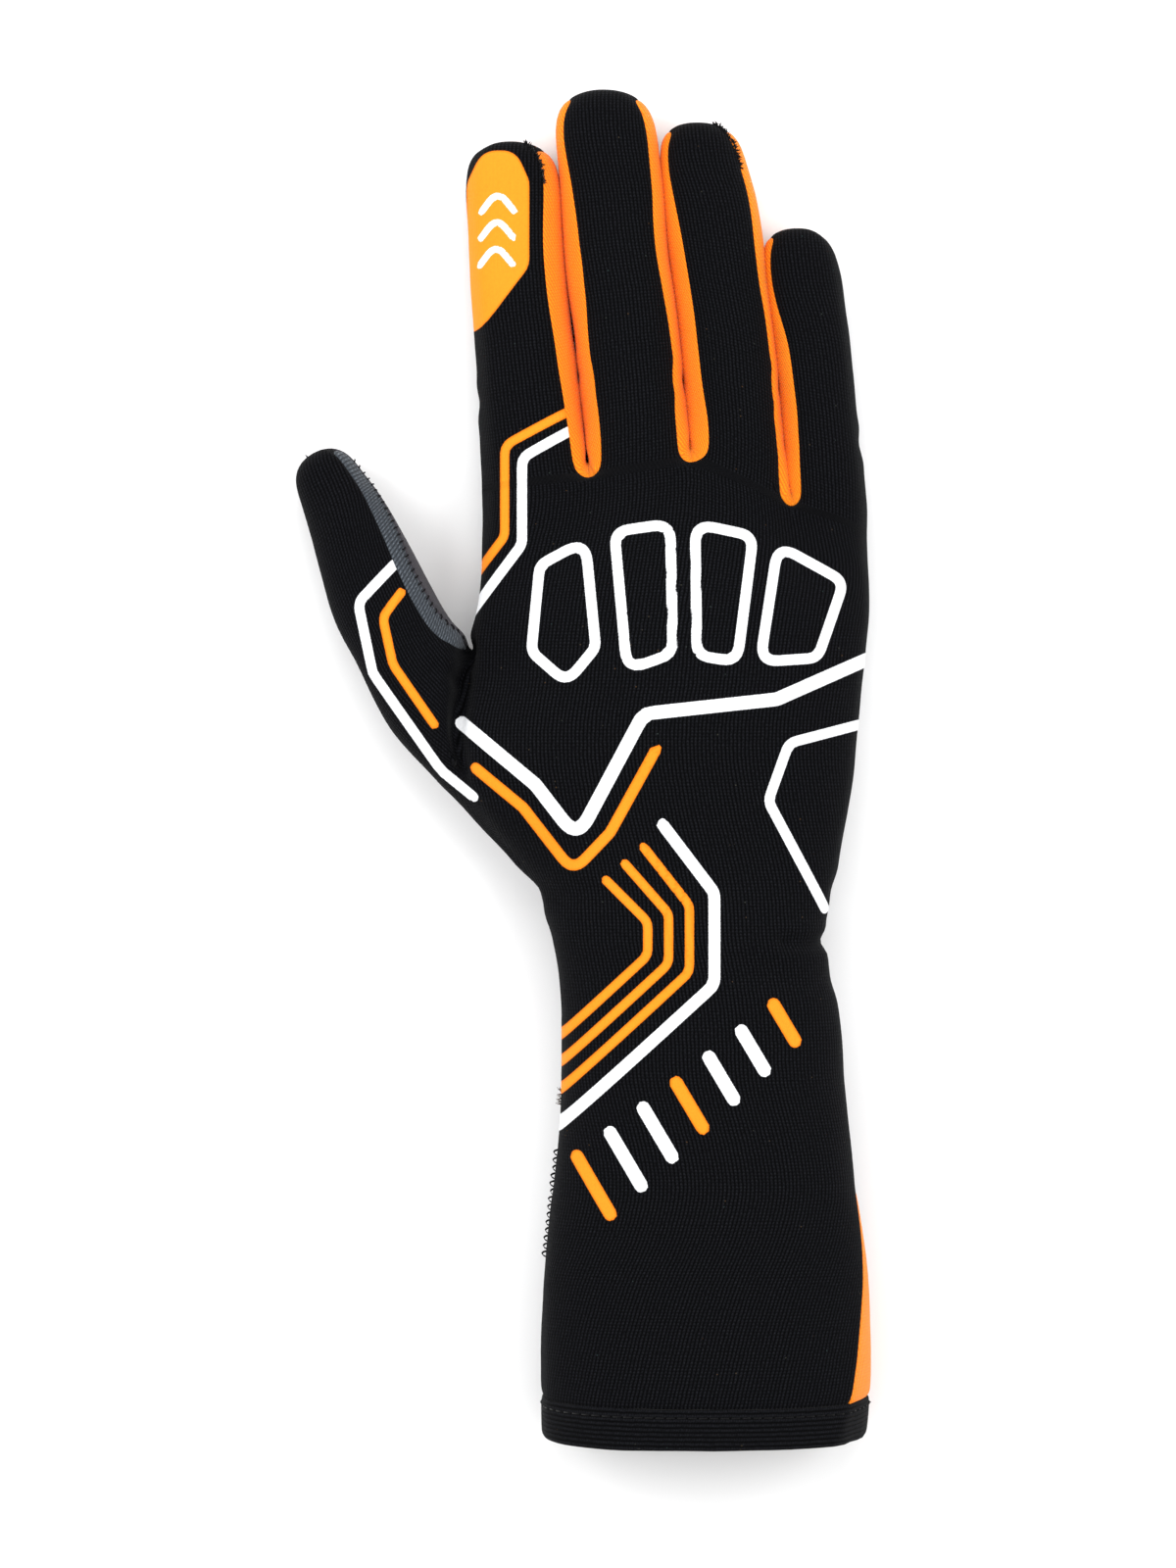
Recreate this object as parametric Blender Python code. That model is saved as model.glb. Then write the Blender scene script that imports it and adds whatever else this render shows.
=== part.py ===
"""A right-hand racing glove that lies palm down, fingers along +Y, thumb at -X, back of the hand up (+Z).

The glove is one skin sewn from panels. Rings of points go round the cuff and the hand, round each finger
and round the thumb, and share their points where they meet. Each face of the skin belongs to one panel. A
panel becomes a cloth solid by giving its faces their wall thickness, with a narrow gap along every seam.
Rings start at the thumb side and run over the back to the little finger's side, then under the palm.
"""

import bisect
import math
from collections import namedtuple

import bmesh
import bpy
from mathutils import Vector

# Driving sizes, in metres
HAND_LENGTH = 0.1125  # wrist to the crotch between index and middle finger
HAND_WIDTH = 0.095  # over the knuckles
HAND_HEIGHT = 0.028
WRIST_WIDTH = 0.066
WRIST_HEIGHT = 0.033
CUFF_LENGTH = 0.123  # wrist to the mouth
CUFF_WIDTH = 0.082
CUFF_HEIGHT = 0.040
HEM_HEIGHT = 0.0095
HEM_DROP = 0.002  # how far the mouth's top edge reaches past its sides
CUFF_GUSSET_LENGTH = 0.050
FINGER_LENGTH = 0.0933  # of the middle finger
FINGER_WIDTH = 0.0264  # of the index finger
FINGER_HEIGHT = 0.0245
FINGER_CAP = 0.0112  # how far a fingertip rounds off
THUMB_LENGTH = 0.061  # crotch to tip
THUMB_WIDTH = 0.0253
THUMB_HEIGHT = 0.024
THUMB_CAP = 0.0105
THUMB_ANGLE = math.radians(28.0)  # away from the fingers
WEB_DEPTH = 0.004  # how far the web between two fingers slopes forward
WEB_ROUND = 0.0038  # radius of the U at the foot of a fourchette
CLOTH_WALL = 0.0015
HEM_WALL = 0.0024
SEAM_GAP = 0.0003
MOST_MITRE = 1.2  # how much thicker than its wall a sharp fold may be
SEAM_TAPER = 3.0  # the gap inside the glove, as a multiple of the gap outside
FINGER_GAP = 0.0009  # between the sides of neighbouring fingers
PALM_FOLD = 0.7  # share by which the palm's edge drops where it runs on into the thumb
PRESS = 0.0015  # how much of the underside is flattened by lying on a surface
LEAST_SLANT = 0.45  # keeps the gap at a seam's sharpest corners from running away

WIDEST = 0.46  # level of a section's widest line, as a share of its height
HAND_ROUNDNESS = 2.5  # 2 is an ellipse, more is squarer
PALM_ROUNDNESS = 3.2
FINGER_ROUNDNESS = 2.2
TIP_ROUNDNESS = 2.5

# Sections of the hand. along is a share of HAND_LENGTH from the wrist; left and right are edges as shares
# of the width there; top is a share of the height there; fold is the level of the fold beside the thumb,
# as a share of top.
HandSection = namedtuple("HandSection", "along left right top fold")
HAND_SECTIONS = (
    HandSection(0.00, -0.50, 0.50, 1.00, 0.50),
    HandSection(0.07, -0.515, 0.505, 0.98, 0.50),
    HandSection(0.14, -0.55, 0.515, 0.96, 0.52),
    HandSection(0.22, -0.615, 0.525, 0.97, 0.64),
    HandSection(0.33, -0.69, 0.535, 1.01, 0.70),
    HandSection(0.45, -0.71, 0.53, 1.05, 0.62),
    HandSection(0.55, -0.66, 0.525, 1.06, 0.50),
    HandSection(0.64, -0.63, 0.52, 1.05, 0.50),
    HandSection(0.73, -0.59, 0.515, 1.03, 0.50),
    HandSection(0.86, -0.555, 0.495, 1.00, 0.50),
    HandSection(0.97, -0.533, 0.47, 0.98, 0.50),
    HandSection(1.05, -0.525, 0.445, 0.96, 0.50),
)

# Sections of the cuff. along is a share of CUFF_LENGTH from the wrist to the mouth; the rest is as for
# the hand.
CuffSection = namedtuple("CuffSection", "along left right top")
CUFF_SECTIONS = (
    CuffSection(0.00, -0.50, 0.50, 1.00),
    CuffSection(0.04, -0.48, 0.52, 0.98),
    CuffSection(0.09, -0.465, 0.53, 0.98),
    CuffSection(0.17, -0.45, 0.548, 0.99),
    CuffSection(0.28, -0.44, 0.542, 1.00),
    CuffSection(0.38, -0.44, 0.547, 1.00),
    CuffSection(0.51, -0.445, 0.552, 1.00),
    CuffSection(0.62, -0.457, 0.573, 1.00),
    CuffSection(0.77, -0.458, 0.578, 1.00),
    CuffSection(0.90, -0.447, 0.574, 1.00),
    CuffSection(1.00, -0.439, 0.562, 0.99),
)

# Crotches and edges on the knuckle line: across is a share of the hand from its thumb side, along one of
# HAND_LENGTH.
Knuckle = namedtuple("Knuckle", "across along")
KNUCKLES = (
    Knuckle(0.0, 0.974),
    Knuckle(0.277, 1.0),
    Knuckle(0.542, 1.032),
    Knuckle(0.794, 0.94),
    Knuckle(1.0, 0.883),
)

# Fingers, in shares of FINGER_LENGTH, FINGER_WIDTH, FINGER_HEIGHT and FINGER_CAP. In a finger's sections,
# along and centre are shares of its length; half is a share of its width; the two seams are shares of the
# half width there; top and bottom are shares of its height.
FingerSection = namedtuple("FingerSection", "along centre half left_seam right_seam top bottom")
Finger = namedtuple("Finger", "name length width height cap sections")
FINGERS = (
    Finger("index", 0.884, 1.000, 0.980, 0.955, (
        FingerSection(0.00, 0.000, 0.500, 0.80, 0.78, 1.00, 0.04),
        FingerSection(0.12, -0.008, 0.497, 0.80, 0.73, 0.98, 0.03),
        FingerSection(0.27, -0.020, 0.486, 0.80, 0.67, 0.94, 0.02),
        FingerSection(0.41, -0.032, 0.477, 0.80, 0.62, 0.91, 0.02),
        FingerSection(0.56, -0.048, 0.461, 0.80, 0.59, 0.87, 0.03),
        FingerSection(0.70, -0.056, 0.454, 0.80, 0.59, 0.83, 0.04),
        FingerSection(0.85, -0.064, 0.448, 0.80, 0.67, 0.78, 0.06),
        FingerSection(1.00, -0.070, 0.440, 0.80, 0.70, 0.72, 0.08),
    )),
    Finger("middle", 1.000, 0.947, 1.000, 1.000, (
        FingerSection(0.00, 0.000, 0.500, 0.76, 0.78, 1.00, 0.04),
        FingerSection(0.09, -0.004, 0.510, 0.74, 0.79, 0.99, 0.03),
        FingerSection(0.22, -0.019, 0.507, 0.74, 0.85, 0.96, 0.02),
        FingerSection(0.35, -0.030, 0.511, 0.78, 0.87, 0.93, 0.02),
        FingerSection(0.47, -0.045, 0.516, 0.71, 0.83, 0.90, 0.02),
        FingerSection(0.60, -0.060, 0.508, 0.73, 0.79, 0.86, 0.03),
        FingerSection(0.73, -0.067, 0.502, 0.81, 0.81, 0.82, 0.04),
        FingerSection(0.88, -0.081, 0.486, 0.92, 0.84, 0.77, 0.06),
        FingerSection(1.00, -0.091, 0.480, 0.92, 0.84, 0.72, 0.08),
    )),
    Finger("ring", 0.956, 0.9015, 0.959, 1.045, (
        FingerSection(0.00, 0.000, 0.500, 0.74, 0.84, 1.00, 0.04),
        FingerSection(0.13, -0.012, 0.480, 0.60, 0.88, 0.98, 0.03),
        FingerSection(0.27, -0.025, 0.490, 0.63, 0.91, 0.94, 0.02),
        FingerSection(0.40, -0.038, 0.487, 0.64, 0.93, 0.91, 0.02),
        FingerSection(0.53, -0.055, 0.483, 0.66, 0.90, 0.87, 0.03),
        FingerSection(0.67, -0.071, 0.490, 0.70, 0.87, 0.83, 0.04),
        FingerSection(0.80, -0.084, 0.470, 0.82, 0.89, 0.79, 0.05),
        FingerSection(0.88, -0.098, 0.440, 0.90, 0.88, 0.76, 0.06),
        FingerSection(1.00, -0.114, 0.420, 0.90, 0.88, 0.72, 0.08),
    )),
    Finger("little", 0.733, 0.731, 0.8776, 1.0625, (
        FingerSection(0.00, -0.005, 0.500, 0.76, 0.84, 1.00, 0.05),
        FingerSection(0.25, -0.034, 0.505, 0.63, 0.84, 0.96, 0.03),
        FingerSection(0.42, -0.051, 0.503, 0.63, 0.84, 0.92, 0.03),
        FingerSection(0.60, -0.066, 0.506, 0.71, 0.84, 0.88, 0.04),
        FingerSection(0.77, -0.087, 0.502, 0.88, 0.84, 0.82, 0.05),
        FingerSection(1.00, -0.118, 0.485, 0.90, 0.84, 0.74, 0.08),
    )),
)
PALM_SEAM = math.radians(-40.0)  # where a fourchette meets the palm, below the widest line
SIDE_SEAM = math.radians(-20.0)  # where the back panel, wrapped round the glove's two sides, meets the palm
BACK_CORNER = math.radians(15.0)  # where the back turns into the hand's side
GUSSET_TOP = math.radians(4.0)  # the cuff gusset's reach over and under the glove's side
GUSSET_MOUTH = math.radians(36.0)

# Sections of the thumb, each a line across it from the crotch side to the outer side, told from its crotch:
# along is a share of THUMB_LENGTH, out a share of THUMB_WIDTH. The seams are angles above the widest line,
# in degrees: back_seam is the black back's, palm_seam the suede's, and the gusset lies between them.
ThumbSection = namedtuple(
    "ThumbSection", "inner_along inner_out outer_along outer_out back_seam palm_seam height"
)
THUMB_SECTIONS = (
    ThumbSection(0.115, -0.025, -0.42, 0.85, 49.0, 27.0, 1.00),
    ThumbSection(0.232, -0.010, -0.14, 1.04, 60.0, 39.0, 1.00),
    ThumbSection(0.409, -0.010, 0.14, 1.03, 62.0, 39.0, 0.96),
    ThumbSection(0.596, -0.003, 0.37, 1.02, 56.0, 28.0, 0.90),
    ThumbSection(0.740, 0.048, 0.66, 0.85, 50.0, 12.0, 0.82),
    ThumbSection(0.819, 0.086, 0.81, 0.78, 48.0, 6.0, 0.75),
)
THUMB_BOTTOM = 0.03  # share of its height left under it
CAP_TURNS = tuple(math.radians(turn) for turn in (26.0, 50.0, 71.0))  # a rounded tip's rings, to its pole

# How the rings and rows divide the skin
BACK_COLUMNS = 6  # across the back of one finger
PALM_COLUMNS = 4  # across the underside of one finger
SIDE_COLUMNS = 2
CUFF_ROWS = (0.84, 0.76, 0.68, 0.42, 0.33, 0.25, 0.17, 0.10, 0.05)  # besides the hem's and the gusset's own
THUMB_FOOT, THUMB_CROTCH = 0.14, 0.636  # rows between which the thumb opens out of the hand
WRIST_ROWS = (0.0, 0.36, 0.71)  # shares of the way from the wrist to the thumb's foot
THUMB_ROWS = (0.0, 0.14, 0.28, 0.44, 0.60, 0.77, 0.89)  # from the thumb's foot to its crotch
KNUCKLE_ROWS = (0.0, 0.20, 0.42, 0.64, 0.84, 1.0)  # from the thumb's crotch to the fingers
FOLD_IN = (THUMB_FOOT - 0.10, THUMB_FOOT + 0.06)  # rows over which the fold beside the thumb sets in
FOLD_OUT = (THUMB_CROTCH - 0.03, THUMB_CROTCH + 0.08)  # and over which it ends
FOLD_REACH = math.radians(112.0)  # how far round the hand the fold draws it down
HEM_DROP_ROW = 0.75  # share of the cuff from which its top reaches on
ROW_CLEARANCE = 0.02  # least distance between rows of the cuff, as a share of its length
FINGER_ROWS = (0.0, 0.02, 0.05, 0.10, 0.18, 0.28, 0.39, 0.50, 0.61, 0.72, 0.83, 1.0)  # base to tip's start
FOURCHETTE_CAP_RINGS = 2  # how far up the rounded tip a fourchette reaches
KNUCKLE_REACH = 0.30  # how far down the back the knuckles' humps fade, as a share of HAND_LENGTH

BACK = len(FINGERS) * BACK_COLUMNS
RIGHT_MIDDLE = BACK + 1
PALM = BACK + SIDE_COLUMNS
LEFT = PALM + len(FINGERS) * PALM_COLUMNS
LEFT_MIDDLE = LEFT + 1
HAND_RING = LEFT + SIDE_COLUMNS
FINGER_PALM = BACK_COLUMNS + SIDE_COLUMNS
FINGER_LEFT = FINGER_PALM + PALM_COLUMNS
FINGER_RING = FINGER_LEFT + SIDE_COLUMNS

Look = namedtuple("Look", "color roughness")
LOOKS = {
    "back_panel": Look((0.012, 0.012, 0.014), 0.85),
    "palm_panel": Look((0.045, 0.043, 0.050), 0.90),
    "index_middle_fourchette": Look((1.00, 0.27, 0.005), 0.70),
    "middle_ring_fourchette": Look((1.00, 0.27, 0.005), 0.70),
    "ring_little_fourchette": Look((1.00, 0.27, 0.005), 0.70),
    "thumb_gusset": Look((0.075, 0.092, 0.112), 0.80),
    "thumb_palm": Look((0.045, 0.043, 0.050), 0.90),
    "cuff_gusset": Look((1.00, 0.27, 0.005), 0.70),
    "hem_band": Look((0.014, 0.014, 0.016), 0.80),
}


def lerp(a, b, share):
    return a + (b - a) * share


def smooth(low, high, value):
    """0 below low, 1 above high, and an even rise between."""
    share = min(1.0, max(0.0, (value - low) / (high - low)))
    return share * share * (3 - 2 * share)


def read(table, along, column):
    """A column of a table of sections, read on a smooth curve through its rows."""
    knots = [row.along for row in table]
    values = [getattr(row, column) for row in table]
    i = min(max(bisect.bisect_right(knots, along) - 1, 0), len(knots) - 2)
    span = knots[i + 1] - knots[i]
    share = min(1.0, max(0.0, (along - knots[i]) / span))

    def slope(j):
        before, after = max(j - 1, 0), min(j + 1, len(knots) - 1)
        return (values[after] - values[before]) / (knots[after] - knots[before])

    start = values[i] + slope(i) * span * share
    end = values[i + 1] - slope(i + 1) * span * (1 - share)
    return lerp(start, end, smooth(0, 1, share))


def rounded(angle, roundness):
    """Cosine and sine of an angle, squared off towards a rectangle as roundness grows."""
    power = 2 / roundness
    across, up = math.cos(angle), math.sin(angle)
    return math.copysign(abs(across) ** power, across), math.copysign(abs(up) ** power, up)


def far_corners(y):
    """Angles at which back and palm turn into the far side; the cuff's gusset widens to the mouth."""
    top = -(CUFF_LENGTH - HEM_HEIGHT - CUFF_GUSSET_LENGTH)
    if y < top:
        reach = lerp(GUSSET_TOP, GUSSET_MOUTH, (top - y) / (CUFF_LENGTH + top))
        return reach, -reach
    above = smooth(top, top / 2, y)
    return lerp(GUSSET_TOP, BACK_CORNER, above), lerp(-GUSSET_TOP, SIDE_SEAM, above)


def ring_angle(column, y):
    """Angle of a column of the hand ring: 180 degrees at the thumb side, 90 on top, 0 at the far side."""
    back_corner, palm_corner = far_corners(y)
    if column <= BACK:
        return lerp(math.pi - BACK_CORNER, back_corner, column / BACK)
    if column == RIGHT_MIDDLE:
        return 0.0
    if column <= LEFT:
        return lerp(palm_corner, -math.pi - SIDE_SEAM, (column - PALM) / (LEFT - PALM))
    return -math.pi


def hand_section(y):
    """Left and right edge, height and fold level at this distance from the wrist; the cuff is below 0."""
    if y < 0:
        along = -y / CUFF_LENGTH
        table, width, height = CUFF_SECTIONS, CUFF_WIDTH, CUFF_HEIGHT
        fold = 0.5
    else:
        along = y / HAND_LENGTH
        table, width, height = HAND_SECTIONS, HAND_WIDTH, HAND_HEIGHT
        fold = read(table, along, "fold")
    width = lerp(WRIST_WIDTH, width, along)
    top = lerp(WRIST_HEIGHT, height, along) * read(table, along, "top")
    return read(table, along, "left") * width, read(table, along, "right") * width, top, fold * top


def hand_surface(column, y):
    """A point of the hand or cuff before the knuckles are raised."""
    left, right, top, fold = hand_section(y)
    middle, half = (left + right) / 2, (right - left) / 2
    widest = WIDEST * top
    angle = ring_angle(column, y)
    if angle >= 0:
        across, up = rounded(angle, HAND_ROUNDNESS)
        z = lerp(widest, top, up)
    else:
        across, up = rounded(angle, PALM_ROUNDNESS)
        z = max(0.0, widest + (widest + PRESS) * up)
    x = middle + half * across
    along = y / HAND_LENGTH
    beside_thumb = smooth(*FOLD_IN, along) * (1 - smooth(*FOLD_OUT, along))
    near_edge = smooth(FOLD_REACH, math.pi - BACK_CORNER, abs(angle)) * beside_thumb
    if angle < 0:
        z *= 1 - PALM_FOLD * near_edge * (column <= LEFT)
    elif near_edge:
        corner_across, corner_up = rounded(math.pi - BACK_CORNER, HAND_ROUNDNESS)
        x += near_edge * (left - middle - half * corner_across)
        z += near_edge * (fold - lerp(widest, top, corner_up))
    drop = HEM_DROP * smooth(HEM_DROP_ROW, 1.0, -y / CUFF_LENGTH) * max(0.0, math.sin(angle))
    return Vector((x, y - drop, z))


def knuckle_along(column):
    """Where a column of the hand ring ends at the fingers, as a share of HAND_LENGTH."""
    if column <= BACK:
        finger, share = divmod(column / BACK_COLUMNS, 1)
        web = 0.0
    elif column == RIGHT_MIDDLE or column > LEFT:
        return KNUCKLES[-1 if column == RIGHT_MIDDLE else 0].along
    else:
        finger, share = divmod((LEFT - column) / PALM_COLUMNS, 1)
        web = WEB_DEPTH / HAND_LENGTH * min(1.0, 2 * min(column - PALM, LEFT - column) / PALM_COLUMNS)
    finger = int(finger)
    after = min(finger + 1, len(KNUCKLES) - 1)
    return lerp(KNUCKLES[finger].along, KNUCKLES[after].along, share) + web


def crotch(border):
    """Position of a crotch, or of an outer edge, on the knuckle line."""
    y = KNUCKLES[border].along * HAND_LENGTH
    left, right, _, _ = hand_section(y)
    return lerp(left, right, KNUCKLES[border].across), y


def finger_angle(f, column, section):
    """Angle of a finger ring's column, from the seams' shares in its section."""
    left_share, right_share = section("left_seam"), section("right_seam")
    left = math.pi - math.acos(left_share ** (FINGER_ROUNDNESS / 2))
    right = math.acos(right_share ** (FINGER_ROUNDNESS / 2))
    palm_right = PALM_SEAM if f < len(FINGERS) - 1 else SIDE_SEAM
    palm_left = -math.pi - (PALM_SEAM if f > 0 else SIDE_SEAM)
    if column <= BACK_COLUMNS:
        return lerp(left, right, column / BACK_COLUMNS)
    if column == BACK_COLUMNS + 1:
        return 0.0
    if column <= FINGER_LEFT:
        return lerp(palm_right, palm_left, (column - FINGER_PALM) / PALM_COLUMNS)
    return -math.pi


def finger_base_y(f, column):
    """Where a column of a finger ring starts."""
    on_web = column == BACK_COLUMNS + 1 and f < len(FINGERS) - 1
    on_left_web = column == FINGER_LEFT + 1 and f > 0
    if on_web or on_left_web:
        return crotch(f + 1 if on_web else f)[1] + WEB_DEPTH
    return HAND_LENGTH * knuckle_along(base_column(f, column))


def base_column(f, column):
    """The hand ring's column that a finger ring's column continues."""
    if column <= BACK_COLUMNS:
        return f * BACK_COLUMNS + column
    if column == BACK_COLUMNS + 1:
        return RIGHT_MIDDLE
    if column <= FINGER_LEFT:
        return PALM + (len(FINGERS) - 1 - f) * PALM_COLUMNS + column - FINGER_PALM
    return LEFT_MIDDLE


def finger_reference(f):
    """Middle of a finger's foot and the level that its length is told from."""
    left, right = crotch(f), crotch(f + 1)
    if f == 0:
        y = right[1]
    elif f == len(FINGERS) - 1:
        y = left[1]
    else:
        y = (left[1] + right[1]) / 2
    return (left[0] + right[0]) / 2, y


def finger_surface(f, column, row, turn=0.0):
    """A point of a finger: row is its share of the way to the tip's cap, turn the way over the cap."""
    finger = FINGERS[f]
    length, cap = finger.length * FINGER_LENGTH, finger.cap * FINGER_CAP
    height = finger.height * FINGER_HEIGHT
    foot_x, foot_y = finger_reference(f)
    base_y = finger_base_y(f, column)
    y = lerp(base_y, foot_y + length - cap, row)
    along = max(0.0, (y - foot_y) / length)

    def section(name):
        return read(finger.sections, along, name)

    shrink, forward = rounded(turn, TIP_ROUNDNESS)
    tip_along = lerp(along, 1.0, forward) if turn else along
    centre = foot_x + length * read(finger.sections, tip_along, "centre")
    half = finger.width * FINGER_WIDTH * section("half") - FINGER_GAP / 2
    top, bottom = height * section("top"), height * section("bottom")
    widest = lerp(bottom, top, 0.5)
    across, up = rounded(finger_angle(f, column, section), FINGER_ROUNDNESS)
    x = centre + half * across * shrink
    z = widest + (top - widest) * up * shrink
    x += web_pull(f, column, y - base_y, x)
    return Vector((x, y + cap * forward, max(0.0, z)))


def web_pull(f, column, distance, x):
    """How far a point near a finger's foot is drawn to the crotch, so that the slot ends in a U."""
    on_back = column <= BACK_COLUMNS
    if on_back:
        place = 2 * column / BACK_COLUMNS - 1
    elif FINGER_PALM <= column <= FINGER_LEFT:
        place = 1 - 2 * (column - FINGER_PALM) / PALM_COLUMNS
    else:
        place = 1.0 if column < FINGER_PALM else -1.0
    border = f + 1 if place > 0 else f
    if place == 0 or border in (0, len(FINGERS)):
        return 0.0
    rest = min(1.0, distance / WEB_ROUND)
    pull = 1 - math.sqrt(1 - (1 - rest) ** 2)
    edge = crotch(border)[0]
    if abs(place) == 1:
        return pull * (edge - x)
    return pull * (edge - seam_x(f, border, on_back)) * abs(place) ** 3


def seam_x(f, border, on_back):
    """Where the seam beside a crotch would lie at the finger's foot without the U."""
    finger = FINGERS[f]
    foot_x, _ = finger_reference(f)
    right = border == f + 1
    share = finger.sections[0].right_seam if right else finger.sections[0].left_seam
    if not on_back:
        share, _ = rounded(PALM_SEAM, FINGER_ROUNDNESS)
    return foot_x + (1 if right else -1) * finger.width * FINGER_WIDTH * finger.sections[0].half * share


def thumb_place(along, out):
    """A point in plan, told from the thumb's crotch."""
    y = THUMB_CROTCH * HAND_LENGTH
    left, _, _, _ = hand_section(y)
    ahead = Vector((-math.sin(THUMB_ANGLE), math.cos(THUMB_ANGLE)))
    aside = Vector((-math.cos(THUMB_ANGLE), -math.sin(THUMB_ANGLE)))
    return Vector((left, y)) + ahead * along * THUMB_LENGTH + aside * out * THUMB_WIDTH


def thumb_angle(column, columns, section):
    """Angle of a thumb ring's column: 0 at the crotch side, 90 on top, 180 at the outer side."""
    back_seam, palm_seam = math.radians(section.back_seam), math.radians(section.palm_seam)
    if column <= columns:
        return lerp(back_seam, math.pi - BACK_CORNER, column / columns)
    if column == columns + 1:
        return math.pi
    if column <= 2 * columns + SIDE_COLUMNS:
        share = (column - columns - SIDE_COLUMNS) / columns
        return lerp(math.pi - SIDE_SEAM, 2 * math.pi + SIDE_SEAM, share)
    return 2 * math.pi + palm_seam


def thumb_surface(column, columns, section, turn=0.0):
    """A point of the thumb on one of its sections, or on the rounded tip past the last."""
    inner = thumb_place(section.inner_along, section.inner_out)
    outer = thumb_place(section.outer_along, section.outer_out)
    across, up = rounded(thumb_angle(column, columns, section), FINGER_ROUNDNESS)
    shrink, forward = rounded(turn, TIP_ROUNDNESS)
    plan = (inner + outer) / 2 + (inner - outer) / 2 * across * shrink
    if turn:
        plan += Vector((-math.sin(THUMB_ANGLE), math.cos(THUMB_ANGLE))) * THUMB_CAP * forward
    top = THUMB_HEIGHT * section.height
    bottom = THUMB_HEIGHT * THUMB_BOTTOM
    z = lerp(bottom, top, 0.5) + (top - bottom) / 2 * up * shrink
    return Vector((plan.x, plan.y, max(0.0, z)))


class Skin:
    """Named points and the faces between them, each face with the panel that it belongs to."""

    def __init__(self):
        self.points = {}
        self.faces = []

    def ring_faces(self, lower, upper, panel_of, flip=False):
        """Faces between two rings of point names; panel_of(column) gives None where there is no face."""
        count = len(lower)
        for column in range(count):
            panel = panel_of(column)
            if panel is None:
                continue
            after = (column + 1) % count
            face = [lower[column], lower[after], upper[after], upper[column]]
            face = list(dict.fromkeys(face))
            self.faces.append((face[::-1] if flip else face, panel))


def cuff_rows():
    """Distances of the cuff's rows from the wrist, mouth first; those of the hem's and gusset's seams."""
    hem = CUFF_LENGTH - HEM_HEIGHT
    gusset = hem - CUFF_GUSSET_LENGTH
    above = [share * CUFF_LENGTH for share in CUFF_ROWS]
    clear = ROW_CLEARANCE * CUFF_LENGTH
    above = [y for y in above if y < hem - clear and abs(y - gusset) > clear]
    rows = [CUFF_LENGTH, CUFF_LENGTH - HEM_HEIGHT / 2, hem, gusset, *above]
    return sorted(rows, reverse=True), hem, gusset


def hand_rows():
    """Shares of HAND_LENGTH at which the hand's rows lie, from the wrist to the knuckle line."""
    rows = [THUMB_FOOT * share for share in WRIST_ROWS]
    rows += [lerp(THUMB_FOOT, THUMB_CROTCH, share) for share in THUMB_ROWS]
    return rows + [lerp(THUMB_CROTCH, 1.0, share) for share in KNUCKLE_ROWS]


def sew_hand(skin):
    """Cuff and hand, up to the knuckle line."""
    below, hem, gusset = cuff_rows()
    rows = [(-y, False) for y in below] + [(share, True) for share in hand_rows()]
    for r, (place, in_hand) in enumerate(rows):
        for column in range(HAND_RING):
            ahead = knuckle_along(column)
            y = place
            if in_hand:
                y = HAND_LENGTH * place * lerp(1.0, ahead, smooth(THUMB_CROTCH, 1.0, place))
            point = hand_surface(column, y)
            raised = smooth(1 - KNUCKLE_REACH, 1.0, place) if in_hand else 0.0
            if raised:
                end = hand_surface(column, HAND_LENGTH * ahead)
                point += raised * (knuckle_point(column) - end)
            point.z = max(0.0, point.z)
            skin.points["hand", r, column] = point

    def panel(r, column):
        place, in_hand = rows[r]
        if not in_hand and -place > hem + SEAM_GAP:
            return "hem_band"
        if column < BACK:
            return "back_panel"
        if column < PALM:
            return "cuff_gusset" if not in_hand and -place > gusset + SEAM_GAP else "back_panel"
        if column < LEFT:
            return "palm_panel"
        if not in_hand or place < THUMB_FOOT:
            return "palm_panel" if column == LEFT else "back_panel"
        return "back_panel" if place >= THUMB_CROTCH else None

    for r in range(len(rows) - 1):
        lower = [("hand", r, column) for column in range(HAND_RING)]
        upper = [("hand", r + 1, column) for column in range(HAND_RING)]
        skin.ring_faces(lower, upper, lambda column, r=r: panel(r, column))
    return rows


def knuckle_point(column):
    """The foot of the finger above a column of the hand ring."""
    if column == RIGHT_MIDDLE:
        return finger_surface(len(FINGERS) - 1, BACK_COLUMNS + 1, 0.0)
    if column == LEFT_MIDDLE:
        return finger_surface(0, FINGER_LEFT + 1, 0.0)
    if column <= BACK:
        f = min(column // BACK_COLUMNS, len(FINGERS) - 1)
        return finger_surface(f, column - f * BACK_COLUMNS, 0.0)
    place = column - PALM
    f = len(FINGERS) - 1 - min(place // PALM_COLUMNS, len(FINGERS) - 1)
    return finger_surface(f, FINGER_PALM + place - (len(FINGERS) - 1 - f) * PALM_COLUMNS, 0.0)


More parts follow.
